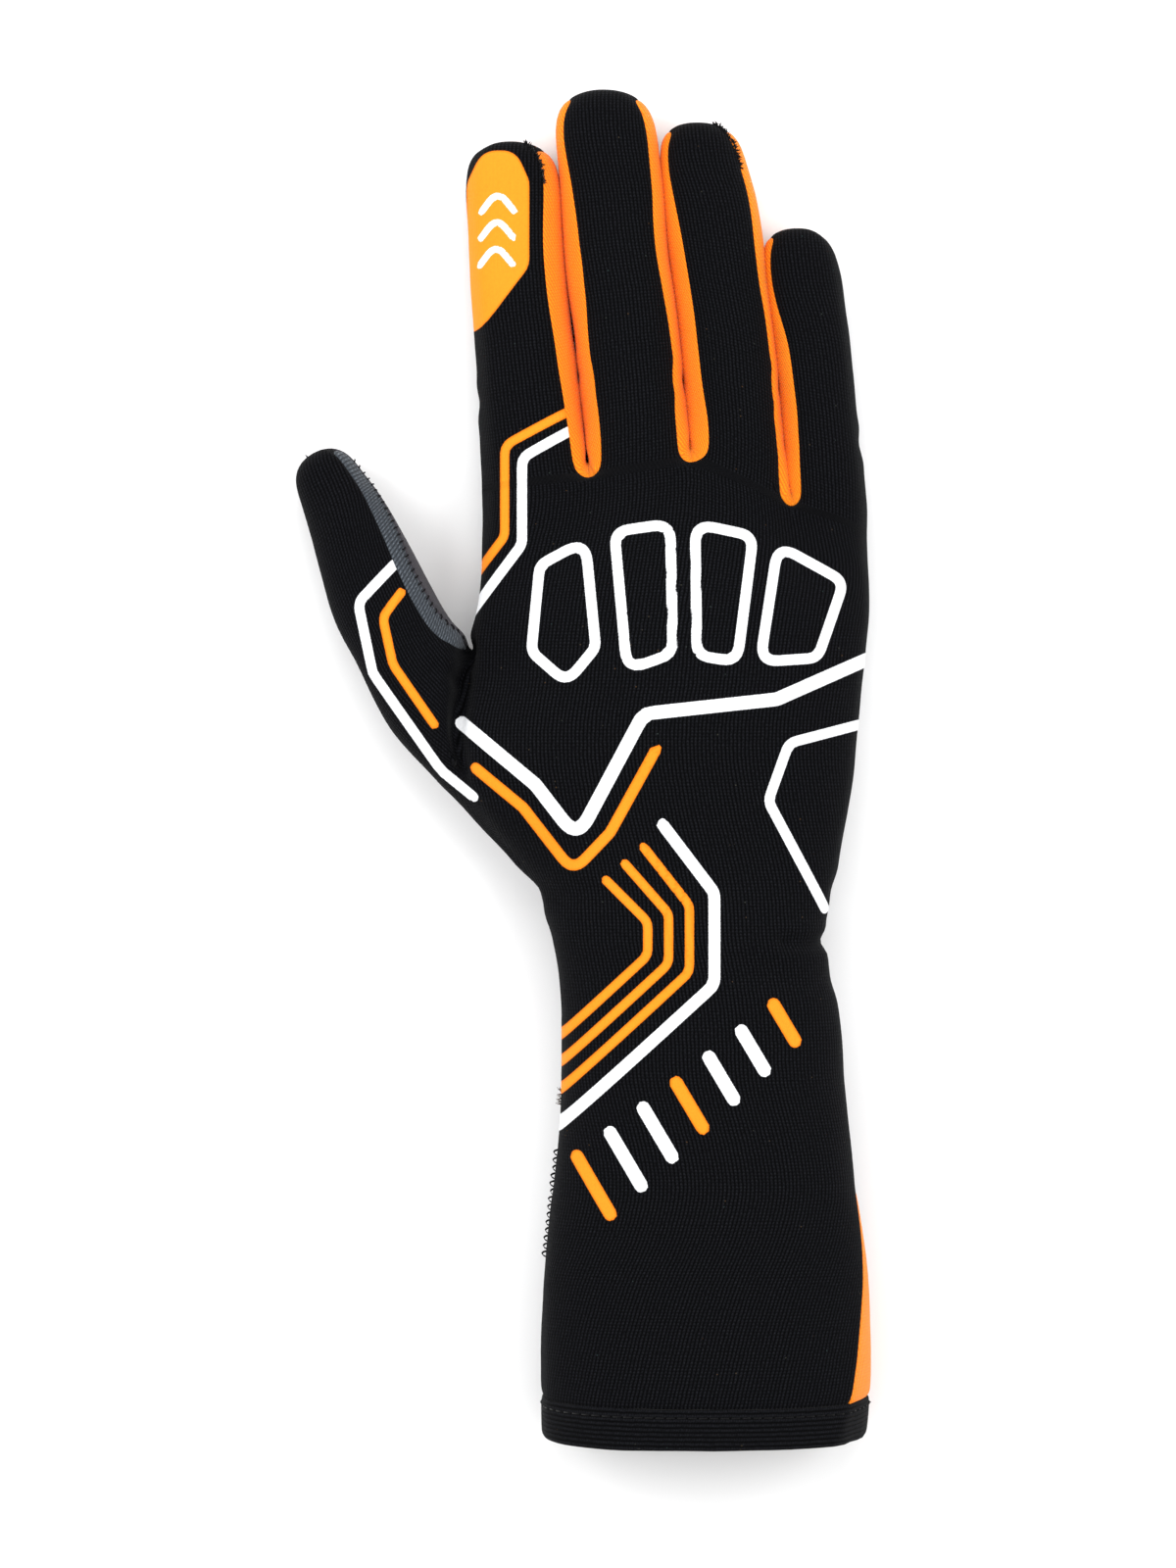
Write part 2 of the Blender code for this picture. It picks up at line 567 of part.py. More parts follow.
def sew_finger(skin, f, last_row):
    """One finger, from the knuckle line over its tip."""
    outer_left, outer_right = f == 0, f == len(FINGERS) - 1

    def name(r, column):
        if r > 0:
            return FINGERS[f].name, r, column
        if column == BACK_COLUMNS + 1 and not outer_right:
            return "web", f
        if column == FINGER_LEFT + 1 and not outer_left:
            return "web", f - 1
        return "hand", last_row, base_column(f, column)

    straight = len(FINGER_ROWS)
    places = [(row, 0.0) for row in FINGER_ROWS] + [(1.0, turn) for turn in CAP_TURNS]
    for r, (row, turn) in enumerate(places):
        for column in range(FINGER_RING):
            skin.points.setdefault(name(r, column), finger_surface(f, column, row, turn))
    fourchettes_end = straight - 1 + FOURCHETTE_CAP_RINGS

    def panel(r, column):
        if column < BACK_COLUMNS:
            return "back_panel"
        if FINGER_PALM <= column < FINGER_LEFT:
            return "palm_panel"
        on_right = column < FINGER_PALM
        if r < fourchettes_end:
            if outer_right and on_right or outer_left and not on_right:
                return "back_panel"
            return fourchette_name(f if on_right else f - 1)
        return "back_panel" if column in (BACK_COLUMNS, FINGER_RING - 1) else "palm_panel"

    for r in range(len(places) - 1):
        lower = [name(r, column) for column in range(FINGER_RING)]
        upper = [name(r + 1, column) for column in range(FINGER_RING)]
        skin.ring_faces(lower, upper, lambda column, r=r: panel(r, column))
    pole = (FINGERS[f].name, "pole")
    skin.points[pole] = finger_surface(f, 0, 1.0, math.pi / 2)
    last = len(places) - 1
    lower = [name(last, column) for column in range(FINGER_RING)]
    skin.ring_faces(lower, [pole] * FINGER_RING, lambda column: panel(last, column))


def fourchette_name(f):
    return f"{FINGERS[f].name}_{FINGERS[f + 1].name}_fourchette"


def sew_web(skin, f):
    """The middle of the web between two fingers, where their fourchette turns back."""
    x, y = crotch(f + 1)
    lower = skin.points[FINGERS[f].name, 1, BACK_COLUMNS + 1]
    skin.points["web", f] = Vector((x, y + WEB_DEPTH, lower.z))


def sew_thumb(skin, rows):
    """The thumb, from its opening in the hand's side over its tip."""
    foot = rows.index((THUMB_FOOT, True))
    top = rows.index((THUMB_CROTCH, True))
    columns = top - foot
    base = [("hand", r, 0) for r in range(top, foot - 1, -1)]
    base += [("hand", foot, LEFT_MIDDLE)]
    base += [("hand", r, LEFT) for r in range(foot, top + 1)]
    base += [("hand", top, LEFT_MIDDLE)]
    count = len(base)
    rings = [base]
    places = [(section, 0.0) for section in THUMB_SECTIONS]
    places += [(THUMB_SECTIONS[-1], turn) for turn in CAP_TURNS]
    for r, (section, turn) in enumerate(places):
        ring = [("thumb", r, column) for column in range(count)]
        for column, key in enumerate(ring):
            skin.points[key] = thumb_surface(column, columns, section, turn)
        rings.append(ring)
    gusset_end = len(THUMB_SECTIONS) + FOURCHETTE_CAP_RINGS

    def panel(r, column):
        if column < columns + SIDE_COLUMNS:
            return "back_panel"
        if column < count - 1:
            return "thumb_palm"
        return "thumb_gusset" if r < gusset_end else "back_panel"

    for r in range(len(rings) - 1):
        skin.ring_faces(rings[r], rings[r + 1], lambda column, r=r: panel(r, column), flip=True)
    skin.points["thumb", "pole"] = thumb_surface(0, columns, THUMB_SECTIONS[-1], math.pi / 2)
    last = len(rings) - 1
    skin.ring_faces(rings[-1], [("thumb", "pole")] * count, lambda column: panel(last, column), flip=True)


def sew_skin():
    """The whole skin as one mesh, and the panel of each of its faces."""
    skin = Skin()
    rows = sew_hand(skin)
    for f in range(len(FINGERS)):
        sew_finger(skin, f, len(rows) - 1)
    for f in range(len(FINGERS) - 1):
        sew_web(skin, f)
    sew_thumb(skin, rows)
    used = list(dict.fromkeys(key for face, _ in skin.faces for key in face))
    lows = [min(skin.points[key][axis] for key in used) for axis in range(3)]
    highs = [max(skin.points[key][axis] for key in used) for axis in range(3)]
    origin = Vector(((lows[0] + highs[0]) / 2, (lows[1] + highs[1]) / 2, lows[2]))
    mesh = bmesh.new()
    verts = {key: mesh.verts.new(skin.points[key] - origin) for key in used}
    panels = [(mesh.faces.new([verts[key] for key in face]), panel) for face, panel in skin.faces]
    mesh.normal_update()
    mesh.verts.index_update()
    return mesh, panels


def inward(vert, faces):
    """Way from a seam's point into a panel, along its surface, long enough to open half the seam's gap."""
    ways = []
    for edge in vert.link_edges:
        inside = [face for face in edge.link_faces if face in faces]
        if len(inside) != 1 or len(edge.link_faces) < 2:
            continue
        along = (edge.verts[1].co - edge.verts[0].co).normalized()
        to_face = inside[0].calc_center_median() - vert.co
        ways.append((to_face - along * to_face.dot(along)).normalized())
    if not ways:
        return Vector()
    way = sum(ways, Vector()).normalized()
    return way * SEAM_GAP / 2 / max(LEAST_SLANT, way.dot(ways[0]))


def cut_panel(name, panels):
    """One panel of the skin as a closed cloth solid in an object of its own."""
    wall = HEM_WALL if name == "hem_band" else CLOTH_WALL
    faces = {face for face, panel in panels if panel == name}
    solid = bmesh.new()
    outer, inner = {}, {}
    for vert in dict.fromkeys(vert for face, panel in panels if panel == name for vert in face.verts):
        shift = inward(vert, faces)
        depth = wall * min(vert.calc_shell_factor(), MOST_MITRE)
        outer[vert] = solid.verts.new(vert.co + shift)
        inner[vert] = solid.verts.new(vert.co + shift * SEAM_TAPER - vert.normal * depth)
    for face, panel in panels:
        if panel != name:
            continue
        solid.faces.new([outer[vert] for vert in face.verts])
        solid.faces.new([inner[vert] for vert in reversed(face.verts)])
        for loop in face.loops:
            if sum(other in faces for other in loop.edge.link_faces) == 1:
                start, end = loop.vert, loop.link_loop_next.vert
                solid.faces.new((outer[end], outer[start], inner[start], inner[end]))
    bmesh.ops.recalc_face_normals(solid, faces=solid.faces[:])
    mesh = bpy.data.meshes.new(name)
    solid.to_mesh(mesh)
    solid.free()
    mesh.shade_smooth()
    mesh.set_sharp_from_angle(angle=math.radians(50))
    mesh.materials.append(cloth(name))
    bpy.context.scene.collection.objects.link(bpy.data.objects.new(name, mesh))


def cloth(name):
    material = bpy.data.materials.new(name)
    material.use_nodes = True
    shader = material.node_tree.nodes["Principled BSDF"]
    shader.inputs["Base Color"].default_value = (*LOOKS[name].color, 1.0)
    shader.inputs["Roughness"].default_value = LOOKS[name].roughness
    shader.inputs["Metallic"].default_value = 0.0
    return material


def main():
    for old in list(bpy.data.objects):
        bpy.data.objects.remove(old)
    skin, panels = sew_skin()
    for name in LOOKS:
        cut_panel(name, panels)
    skin.free()


main()
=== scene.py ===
"""Looks of a right-hand racing glove that lies palm down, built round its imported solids.

The glove's skin is laid out in tubes: the hand and cuff, the four fingers and the thumb. Each tube is a grid
that is bent into shape, and each of its faces belongs to one panel of cloth. A panel is then cut out of the
skin, its edges are rolled in at the seams, and it gets its folds, prints and thickness.
"""

import bisect
import math
import random
from collections import namedtuple
from functools import partial

import bmesh
import bpy
import numpy as np
from mathutils import Matrix, Vector, noise
from mathutils.bvhtree import BVHTree


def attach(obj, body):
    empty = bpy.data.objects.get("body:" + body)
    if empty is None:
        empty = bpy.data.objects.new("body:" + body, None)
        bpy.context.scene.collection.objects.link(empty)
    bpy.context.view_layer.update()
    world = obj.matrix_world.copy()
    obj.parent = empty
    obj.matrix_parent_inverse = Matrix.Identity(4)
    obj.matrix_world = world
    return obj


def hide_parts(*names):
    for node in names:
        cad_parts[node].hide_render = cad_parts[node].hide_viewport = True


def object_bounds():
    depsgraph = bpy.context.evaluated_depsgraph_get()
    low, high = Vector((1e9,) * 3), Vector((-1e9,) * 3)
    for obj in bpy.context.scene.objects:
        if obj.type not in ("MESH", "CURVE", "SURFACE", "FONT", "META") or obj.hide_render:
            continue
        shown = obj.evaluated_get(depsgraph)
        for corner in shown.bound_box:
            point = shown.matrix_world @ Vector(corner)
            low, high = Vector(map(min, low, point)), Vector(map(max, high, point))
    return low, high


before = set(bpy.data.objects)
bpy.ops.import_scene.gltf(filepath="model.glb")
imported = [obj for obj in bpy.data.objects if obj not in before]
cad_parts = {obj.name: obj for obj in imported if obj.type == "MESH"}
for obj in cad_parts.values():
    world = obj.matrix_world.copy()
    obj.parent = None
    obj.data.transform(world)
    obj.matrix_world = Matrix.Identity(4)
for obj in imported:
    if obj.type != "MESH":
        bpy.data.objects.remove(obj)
cad_low, cad_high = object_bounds()

# Driving sizes, in metres, at the size that the frame has
DRAWN_LENGTH = 0.33258
SIZE = (cad_high.y - cad_low.y) / DRAWN_LENGTH
MM = 0.001 * SIZE
HAND_LENGTH = 112.5 * MM  # wrist to the crotch between index and middle finger
HAND_WIDTH = 95 * MM  # over the knuckles
HAND_HEIGHT = 28 * MM
WRIST_WIDTH = 66 * MM
WRIST_HEIGHT = 33 * MM
CUFF_LENGTH = 119 * MM  # wrist to the mouth; 4 mm less than in the solids
CUFF_WIDTH = 82 * MM
CUFF_HEIGHT = 40 * MM
HEM_HEIGHT = 9.5 * MM
HEM_DROP = 2 * MM  # how far the mouth's top edge reaches past its sides
CUFF_GUSSET_LENGTH = 50 * MM
FINGER_LENGTH = 93.3 * MM
FINGER_WIDTH = 26.4 * MM
FINGER_HEIGHT = 24.5 * MM
FINGER_CAP = 11.2 * MM
THUMB_LENGTH = 61 * MM  # crotch to tip
THUMB_WIDTH = 25.3 * MM
THUMB_HEIGHT = 24 * MM
THUMB_CAP = 10.5 * MM
THUMB_ANGLE = math.radians(28)  # away from the fingers
WEB_DEPTH = 4 * MM  # how far the web between two fingers slopes forward
WEB_ROUND = 3.8 * MM  # radius of the U at the foot of a fourchette
WEB_FADE = 3  # how fast the U fades out across the finger
CLOTH_WALL = 1.3 * MM
HEM_WALL = 2.4 * MM
FINGER_GAP = 0.2 * MM
PALM_FOLD = 0.7  # share by which the palm's edge drops where it runs on into the thumb
PRESS = 1.5 * MM  # how much of the underside is flattened by lying on a surface
ROLL_WIDTH = 0.7 * MM  # strip along a seam that is rolled in
ROLL_DEPTH = 0.6 * MM
SIDE_SWELL = 1.5 * MM  # how far a fourchette's middle is filled out towards its neighbour
WEB_RISE = 4.5 * MM  # how far the fourchettes' middle comes up at a crotch
WEB_RISE_REACH = 13 * MM
CLOTH_LEVELS = 2  # subdivisions of a panel
WELD = 0.01 * MM  # tubes are welded where their points lie closer than this
HEM_LINE = -(CUFF_LENGTH - HEM_HEIGHT)  # where the hem ends, told from the wrist
GUSSET_LINE = -(CUFF_LENGTH - HEM_HEIGHT - CUFF_GUSSET_LENGTH)  # the cuff gusset's point

WIDEST = 0.46  # level of a section's widest line, as a share of its height
HAND_ROUNDNESS = 2.5  # 2 is an ellipse, more is squarer
PALM_ROUNDNESS = 3.2
FINGER_ROUNDNESS = 2.2
TIP_ROUNDNESS = 2.5

# Sections of the hand. along is a share of HAND_LENGTH from the wrist; left and right are edges as shares
# of the width there; top is a share of the height there; fold is the level of the fold beside the thumb.
HandSection = namedtuple("HandSection", "along left right top fold")
HAND_SECTIONS = [HandSection(*row) for row in (
    (0.00, -0.50, 0.50, 1.00, 0.50),
    (0.07, -0.515, 0.505, 0.98, 0.50),
    (0.14, -0.55, 0.515, 0.96, 0.52),
    (0.22, -0.615, 0.525, 0.97, 0.64),
    (0.33, -0.69, 0.535, 1.01, 0.70),
    (0.45, -0.71, 0.53, 1.05, 0.62),
    (0.55, -0.66, 0.525, 1.06, 0.50),
    (0.64, -0.63, 0.52, 1.05, 0.50),
    (0.73, -0.59, 0.515, 1.03, 0.50),
    (0.86, -0.555, 0.495, 1.00, 0.50),
    (0.97, -0.533, 0.47, 0.98, 0.50),
    (1.05, -0.525, 0.445, 0.96, 0.50),
)]

# Sections of the cuff. along is a share of CUFF_LENGTH from the wrist to the mouth; the rest is as above.
CuffSection = namedtuple("CuffSection", "along left right top")
CUFF_SECTIONS = [CuffSection(*row) for row in (
    (0.00, -0.50, 0.50, 1.00),
    (0.04, -0.48, 0.52, 0.98),
    (0.09, -0.465, 0.53, 0.98),
    (0.17, -0.45, 0.548, 0.99),
    (0.28, -0.44, 0.542, 1.00),
    (0.38, -0.44, 0.547, 1.00),
    (0.51, -0.445, 0.552, 1.00),
    (0.62, -0.457, 0.573, 1.00),
    (0.77, -0.458, 0.578, 1.00),
    (0.90, -0.447, 0.574, 1.00),
    (1.00, -0.439, 0.562, 0.99),
)]

# Crotches and edges on the knuckle line: across is a share of the hand from its thumb side, along one of
# HAND_LENGTH.
Knuckle = namedtuple("Knuckle", "across along")
KNUCKLES = [Knuckle(*row) for row in (
    (0.0, 0.974),
    (0.277, 1.0),
    (0.542, 1.032),
    (0.794, 0.94),
    (1.0, 0.883),
)]

# Fingers, in shares of FINGER_LENGTH, FINGER_WIDTH, FINGER_HEIGHT and FINGER_CAP. In their sections, along
# and centre are shares of the finger's length, half of its width, the seams of the half width there, and top
# and bottom of its height.
FingerSection = namedtuple("FingerSection", "along centre half left_seam right_seam top bottom")
Finger = namedtuple("Finger", "name length width height cap sections")
FINGERS = [Finger(*sizes, [FingerSection(*row) for row in rows]) for *sizes, rows in (
    ("index", 0.884, 1.000, 0.980, 0.955, (
        (0.00, 0.000, 0.500, 0.80, 0.78, 1.00, 0.04),
        (0.12, -0.008, 0.497, 0.80, 0.73, 0.98, 0.03),
        (0.27, -0.020, 0.486, 0.80, 0.67, 0.94, 0.02),
        (0.41, -0.032, 0.477, 0.80, 0.62, 0.91, 0.02),
        (0.56, -0.048, 0.461, 0.80, 0.59, 0.87, 0.03),
        (0.70, -0.056, 0.454, 0.80, 0.59, 0.83, 0.04),
        (0.85, -0.064, 0.448, 0.80, 0.67, 0.78, 0.06),
        (1.00, -0.070, 0.440, 0.80, 0.70, 0.72, 0.08),
    )),
    ("middle", 1.000, 0.947, 1.000, 1.000, (
        (0.00, 0.000, 0.500, 0.76, 0.78, 1.00, 0.04),
        (0.09, -0.004, 0.510, 0.74, 0.79, 0.99, 0.03),
        (0.22, -0.019, 0.507, 0.74, 0.85, 0.96, 0.02),
        (0.35, -0.030, 0.511, 0.78, 0.87, 0.93, 0.02),
        (0.47, -0.045, 0.516, 0.71, 0.83, 0.90, 0.02),
        (0.60, -0.060, 0.508, 0.73, 0.79, 0.86, 0.03),
        (0.73, -0.067, 0.502, 0.81, 0.81, 0.82, 0.04),
        (0.88, -0.081, 0.486, 0.92, 0.84, 0.77, 0.06),
        (1.00, -0.091, 0.480, 0.92, 0.84, 0.72, 0.08),
    )),
    ("ring", 0.956, 0.9015, 0.959, 1.045, (
        (0.00, 0.000, 0.500, 0.74, 0.84, 1.00, 0.04),
        (0.13, -0.012, 0.480, 0.60, 0.88, 0.98, 0.03),
        (0.27, -0.025, 0.490, 0.63, 0.91, 0.94, 0.02),
        (0.40, -0.038, 0.487, 0.64, 0.93, 0.91, 0.02),
        (0.53, -0.055, 0.483, 0.66, 0.90, 0.87, 0.03),
        (0.67, -0.071, 0.490, 0.70, 0.87, 0.83, 0.04),
        (0.80, -0.084, 0.470, 0.82, 0.89, 0.79, 0.05),
        (0.88, -0.098, 0.440, 0.90, 0.88, 0.76, 0.06),
        (1.00, -0.114, 0.420, 0.90, 0.88, 0.72, 0.08),
    )),
    ("little", 0.733, 0.731, 0.8776, 1.0625, (
        (0.00, -0.005, 0.500, 0.76, 0.84, 1.00, 0.05),
        (0.25, -0.034, 0.505, 0.63, 0.84, 0.96, 0.03),
        (0.42, -0.051, 0.503, 0.63, 0.84, 0.92, 0.03),
        (0.60, -0.066, 0.506, 0.71, 0.84, 0.88, 0.04),
        (0.77, -0.087, 0.502, 0.88, 0.84, 0.82, 0.05),
        (1.00, -0.118, 0.485, 0.90, 0.84, 0.74, 0.08),
    )),
)]
PALM_SEAM = math.radians(-40)  # where a fourchette meets the palm, below the widest line
SIDE_SEAM = math.radians(-20)  # where the back panel, wrapped round the glove's two sides, meets the palm
BACK_CORNER = math.radians(15)  # where the back turns into the hand's side
GUSSET_TOP = math.radians(4)  # the cuff gusset's reach over and under the glove's side
GUSSET_MOUTH = math.radians(44)

# Sections of the thumb, each a line across it from the crotch side to the outer side, told from its crotch:
# along is a share of THUMB_LENGTH, out a share of THUMB_WIDTH. The seams are degrees above the widest line.
THUMB_COLUMN_NAMES = "inner_along inner_out outer_along outer_out back_seam palm_seam height"
ThumbSection = namedtuple("ThumbSection", THUMB_COLUMN_NAMES)
THUMB_SECTIONS = [ThumbSection(*row) for row in (
    (0.115, -0.025, -0.42, 0.85, 49, 27, 1.00),
    (0.232, -0.010, -0.14, 1.04, 60, 39, 1.00),
    (0.409, -0.010, 0.14, 1.03, 62, 39, 0.96),
    (0.596, -0.003, 0.37, 1.02, 56, 28, 0.90),
    (0.740, 0.048, 0.66, 0.85, 50, 12, 0.82),
    (0.819, 0.086, 0.81, 0.78, 48, 6, 0.75),
)]
THUMB_BOTTOM = 0.03  # share of its height left under it
CAP_TURNS = tuple(math.radians(turn) for turn in (26, 50, 71, 90))  # a rounded tip's rings, to its pole

# How the tubes are divided
BACK_COLUMNS = 6  # across the back of one finger
PALM_COLUMNS = 4  # across the underside of one finger
SIDE_COLUMNS = 2
CUFF_STEP = 5.5 * MM
CORNER_ANGLE = math.radians(125)  # a rim that bends more sharply than this keeps its corner
THUMB_FOOT, THUMB_CROTCH = 0.14, 0.636  # rows between which the thumb opens out of the hand
WRIST_ROWS, THUMB_ROWS, KNUCKLE_ROWS = 4, 12, 10
FINGER_FOOT_ROWS = (0.0, 0.02, 0.05, 0.10)
FINGER_ROWS = 14  # from the foot rows to the tip's cap
FOURCHETTE_CAP_RINGS = 2
KNUCKLE_REACH = 0.30
FOLD_IN = (THUMB_FOOT - 0.10, THUMB_FOOT + 0.06)
FOLD_OUT = (THUMB_CROTCH - 0.03, THUMB_CROTCH + 0.08)
FOLD_REACH = math.radians(112)
HEM_DROP_ROW = 0.75

BACK = len(FINGERS) * BACK_COLUMNS
RIGHT_MIDDLE = BACK + 1
PALM = BACK + SIDE_COLUMNS
LEFT = PALM + len(FINGERS) * PALM_COLUMNS
LEFT_MIDDLE = LEFT + 1
HAND_RING = LEFT + SIDE_COLUMNS
FINGER_PALM = BACK_COLUMNS + SIDE_COLUMNS
FINGER_LEFT = FINGER_PALM + PALM_COLUMNS
FINGER_RING = FINGER_LEFT + SIDE_COLUMNS

PANEL_SLOTS = {
    "back_panel": "black_knit",
    "palm_panel": "charcoal_suede",
    "index_middle_fourchette": "orange_knit",
    "middle_ring_fourchette": "orange_knit",
    "ring_little_fourchette": "orange_knit",
    "thumb_gusset": "grey_rib_knit",
    "thumb_palm": "charcoal_suede",
    "cuff_gusset": "orange_knit",
    "hem_band": "black_rib",
}
PANELS = list(PANEL_SLOTS)


def lerp(a, b, share):
    return a + (b - a) * share


def smooth(low, high, value):
    """0 below low, 1 above high, and an even rise between."""
    share = min(1.0, max(0.0, (value - low) / (high - low)))
    return share * share * (3 - 2 * share)


def read(table, along, column):
    """A column of a table of sections, read on a smooth curve through its rows."""
    knots = [row.along for row in table]
    values = [getattr(row, column) for row in table]
    i = min(max(bisect.bisect_right(knots, along) - 1, 0), len(knots) - 2)
    span = knots[i + 1] - knots[i]
    share = min(1.0, max(0.0, (along - knots[i]) / span))

    def slope(j):
        before, after = max(j - 1, 0), min(j + 1, len(knots) - 1)
        return (values[after] - values[before]) / (knots[after] - knots[before])

    start = values[i] + slope(i) * span * share
    end = values[i + 1] - slope(i + 1) * span * (1 - share)
    return lerp(start, end, smooth(0, 1, share))


def rounded(angle, roundness):
    """Cosine and sine of an angle, squared off towards a rectangle as roundness grows."""
    power = 2 / roundness
    across, up = math.cos(angle), math.sin(angle)
    return math.copysign(abs(across) ** power, across), math.copysign(abs(up) ** power, up)


def far_corners(y):
    """Angles at which back and palm turn into the far side; the cuff's gusset widens to the mouth."""
    if y < GUSSET_LINE:
        reach = lerp(GUSSET_TOP, GUSSET_MOUTH, (GUSSET_LINE - y) / (CUFF_LENGTH + GUSSET_LINE))
        return reach, -reach
    above = smooth(GUSSET_LINE, GUSSET_LINE / 2, y)
    return lerp(GUSSET_TOP, BACK_CORNER, above), lerp(-GUSSET_TOP, SIDE_SEAM, above)


def angle_in_ring(column, counts, over, side, under, end):
    """Angle of a ring's column: over the back, at the middle of a side, under the palm, and at the end.

    counts are the numbers of columns across the back and the palm.
    """
    back, palm = counts
    if column <= back:
        return lerp(*over, column / back)
    if column == back + 1:
        return side
    if column <= back + SIDE_COLUMNS + palm:
        return lerp(*under, (column - back - SIDE_COLUMNS) / palm)
    return end


def hand_angle(column, y):
    """Angle of a column of the hand ring: 180 degrees at the thumb side, 90 on top, 0 at the far side."""
    back_corner, palm_corner = far_corners(y)
    over = math.pi - BACK_CORNER, back_corner
    under = palm_corner, -math.pi - SIDE_SEAM
    return angle_in_ring(column, (BACK, LEFT - PALM), over, 0.0, under, -math.pi)


def hand_section(y):
    """Left and right edge, height and fold level at this distance from the wrist; the cuff is below 0."""
    if y < 0:
        along = -y / CUFF_LENGTH
        table, width, height = CUFF_SECTIONS, CUFF_WIDTH, CUFF_HEIGHT
        fold = 0.5
    else:
        along = y / HAND_LENGTH
        table, width, height = HAND_SECTIONS, HAND_WIDTH, HAND_HEIGHT
        fold = read(table, along, "fold")
    width = lerp(WRIST_WIDTH, width, along)
    top = lerp(WRIST_HEIGHT, height, along) * read(table, along, "top")
    return read(table, along, "left") * width, read(table, along, "right") * width, top, fold * top


def hand_surface(column, y):
    """A point of the hand or cuff before the knuckles are raised."""
    left, right, top, fold = hand_section(y)
    middle, half = (left + right) / 2, (right - left) / 2
    widest = WIDEST * top
    angle = hand_angle(column, y)
    if angle >= 0:
        across, up = rounded(angle, HAND_ROUNDNESS)
        z = lerp(widest, top, up)
    else:
        across, up = rounded(angle, PALM_ROUNDNESS)
        z = max(0.0, widest + (widest + PRESS) * up)
    x = middle + half * across
    along = y / HAND_LENGTH
    beside_thumb = smooth(*FOLD_IN, along) * (1 - smooth(*FOLD_OUT, along))
    near_edge = smooth(FOLD_REACH, math.pi - BACK_CORNER, abs(angle)) * beside_thumb
    if angle < 0:
        z *= 1 - PALM_FOLD * near_edge * (column <= LEFT)
    elif near_edge:
        corner_across, corner_up = rounded(math.pi - BACK_CORNER, HAND_ROUNDNESS)
        x += near_edge * (left - middle - half * corner_across)
        z += near_edge * (fold - lerp(widest, top, corner_up))
    drop = HEM_DROP * smooth(HEM_DROP_ROW, 1.0, -y / CUFF_LENGTH) * max(0.0, math.sin(angle))
    return Vector((x, y - drop, z))


def knuckle_along(column):
    """Where a column of the hand ring ends at the fingers, as a share of HAND_LENGTH."""
    if column <= BACK:
        finger, share = divmod(column / BACK_COLUMNS, 1)
        web = 0.0
    elif column == RIGHT_MIDDLE or column > LEFT:
        return KNUCKLES[-1 if column == RIGHT_MIDDLE else 0].along
    else:
        finger, share = divmod((LEFT - column) / PALM_COLUMNS, 1)
        web = WEB_DEPTH / HAND_LENGTH * min(1.0, 2 * min(column - PALM, LEFT - column) / PALM_COLUMNS)
    finger = int(finger)
    after = min(finger + 1, len(KNUCKLES) - 1)
    return lerp(KNUCKLES[finger].along, KNUCKLES[after].along, share) + web


def crotch(border):
    """Position of a crotch, or of an outer edge, on the knuckle line."""
    y = KNUCKLES[border].along * HAND_LENGTH
    left, right, _, _ = hand_section(y)
    return lerp(left, right, KNUCKLES[border].across), y


def finger_angle(f, column, section):
    """Angle of a finger ring's column, from the seams' shares in its section."""
    left_share, right_share = section("left_seam"), section("right_seam")
    left = math.pi - math.acos(left_share ** (FINGER_ROUNDNESS / 2))
    right = math.acos(right_share ** (FINGER_ROUNDNESS / 2))
    palm_right = PALM_SEAM if f < len(FINGERS) - 1 else SIDE_SEAM
    palm_left = -math.pi - (PALM_SEAM if f > 0 else SIDE_SEAM)
    counts = BACK_COLUMNS, PALM_COLUMNS
    return angle_in_ring(column, counts, (left, right), 0.0, (palm_right, palm_left), -math.pi)


def base_column(f, column):
    """The hand ring's column that a finger ring's column continues."""
    if column <= BACK_COLUMNS:
        return f * BACK_COLUMNS + column
    if column == BACK_COLUMNS + 1:
        return RIGHT_MIDDLE
    if column <= FINGER_LEFT:
        return PALM + (len(FINGERS) - 1 - f) * PALM_COLUMNS + column - FINGER_PALM
    return LEFT_MIDDLE


def web_beside(f, column):
    """The crotch that a side column of a finger ring starts from, or None."""
    if column == BACK_COLUMNS + 1 and f < len(FINGERS) - 1:
        return f + 1
    if column == FINGER_LEFT + 1 and f > 0:
        return f
    return None


def finger_base_y(f, column):
    """Where a column of a finger ring starts."""
    border = web_beside(f, column)
    if border is not None:
        return crotch(border)[1] + WEB_DEPTH
    return HAND_LENGTH * knuckle_along(base_column(f, column))


def finger_reference(f):
    """Middle of a finger's foot and the level that its length is told from."""
    left, right = crotch(f), crotch(f + 1)
    if f == 0:
        y = right[1]
    elif f == len(FINGERS) - 1:
        y = left[1]
    else:
        y = (left[1] + right[1]) / 2
    return (left[0] + right[0]) / 2, y


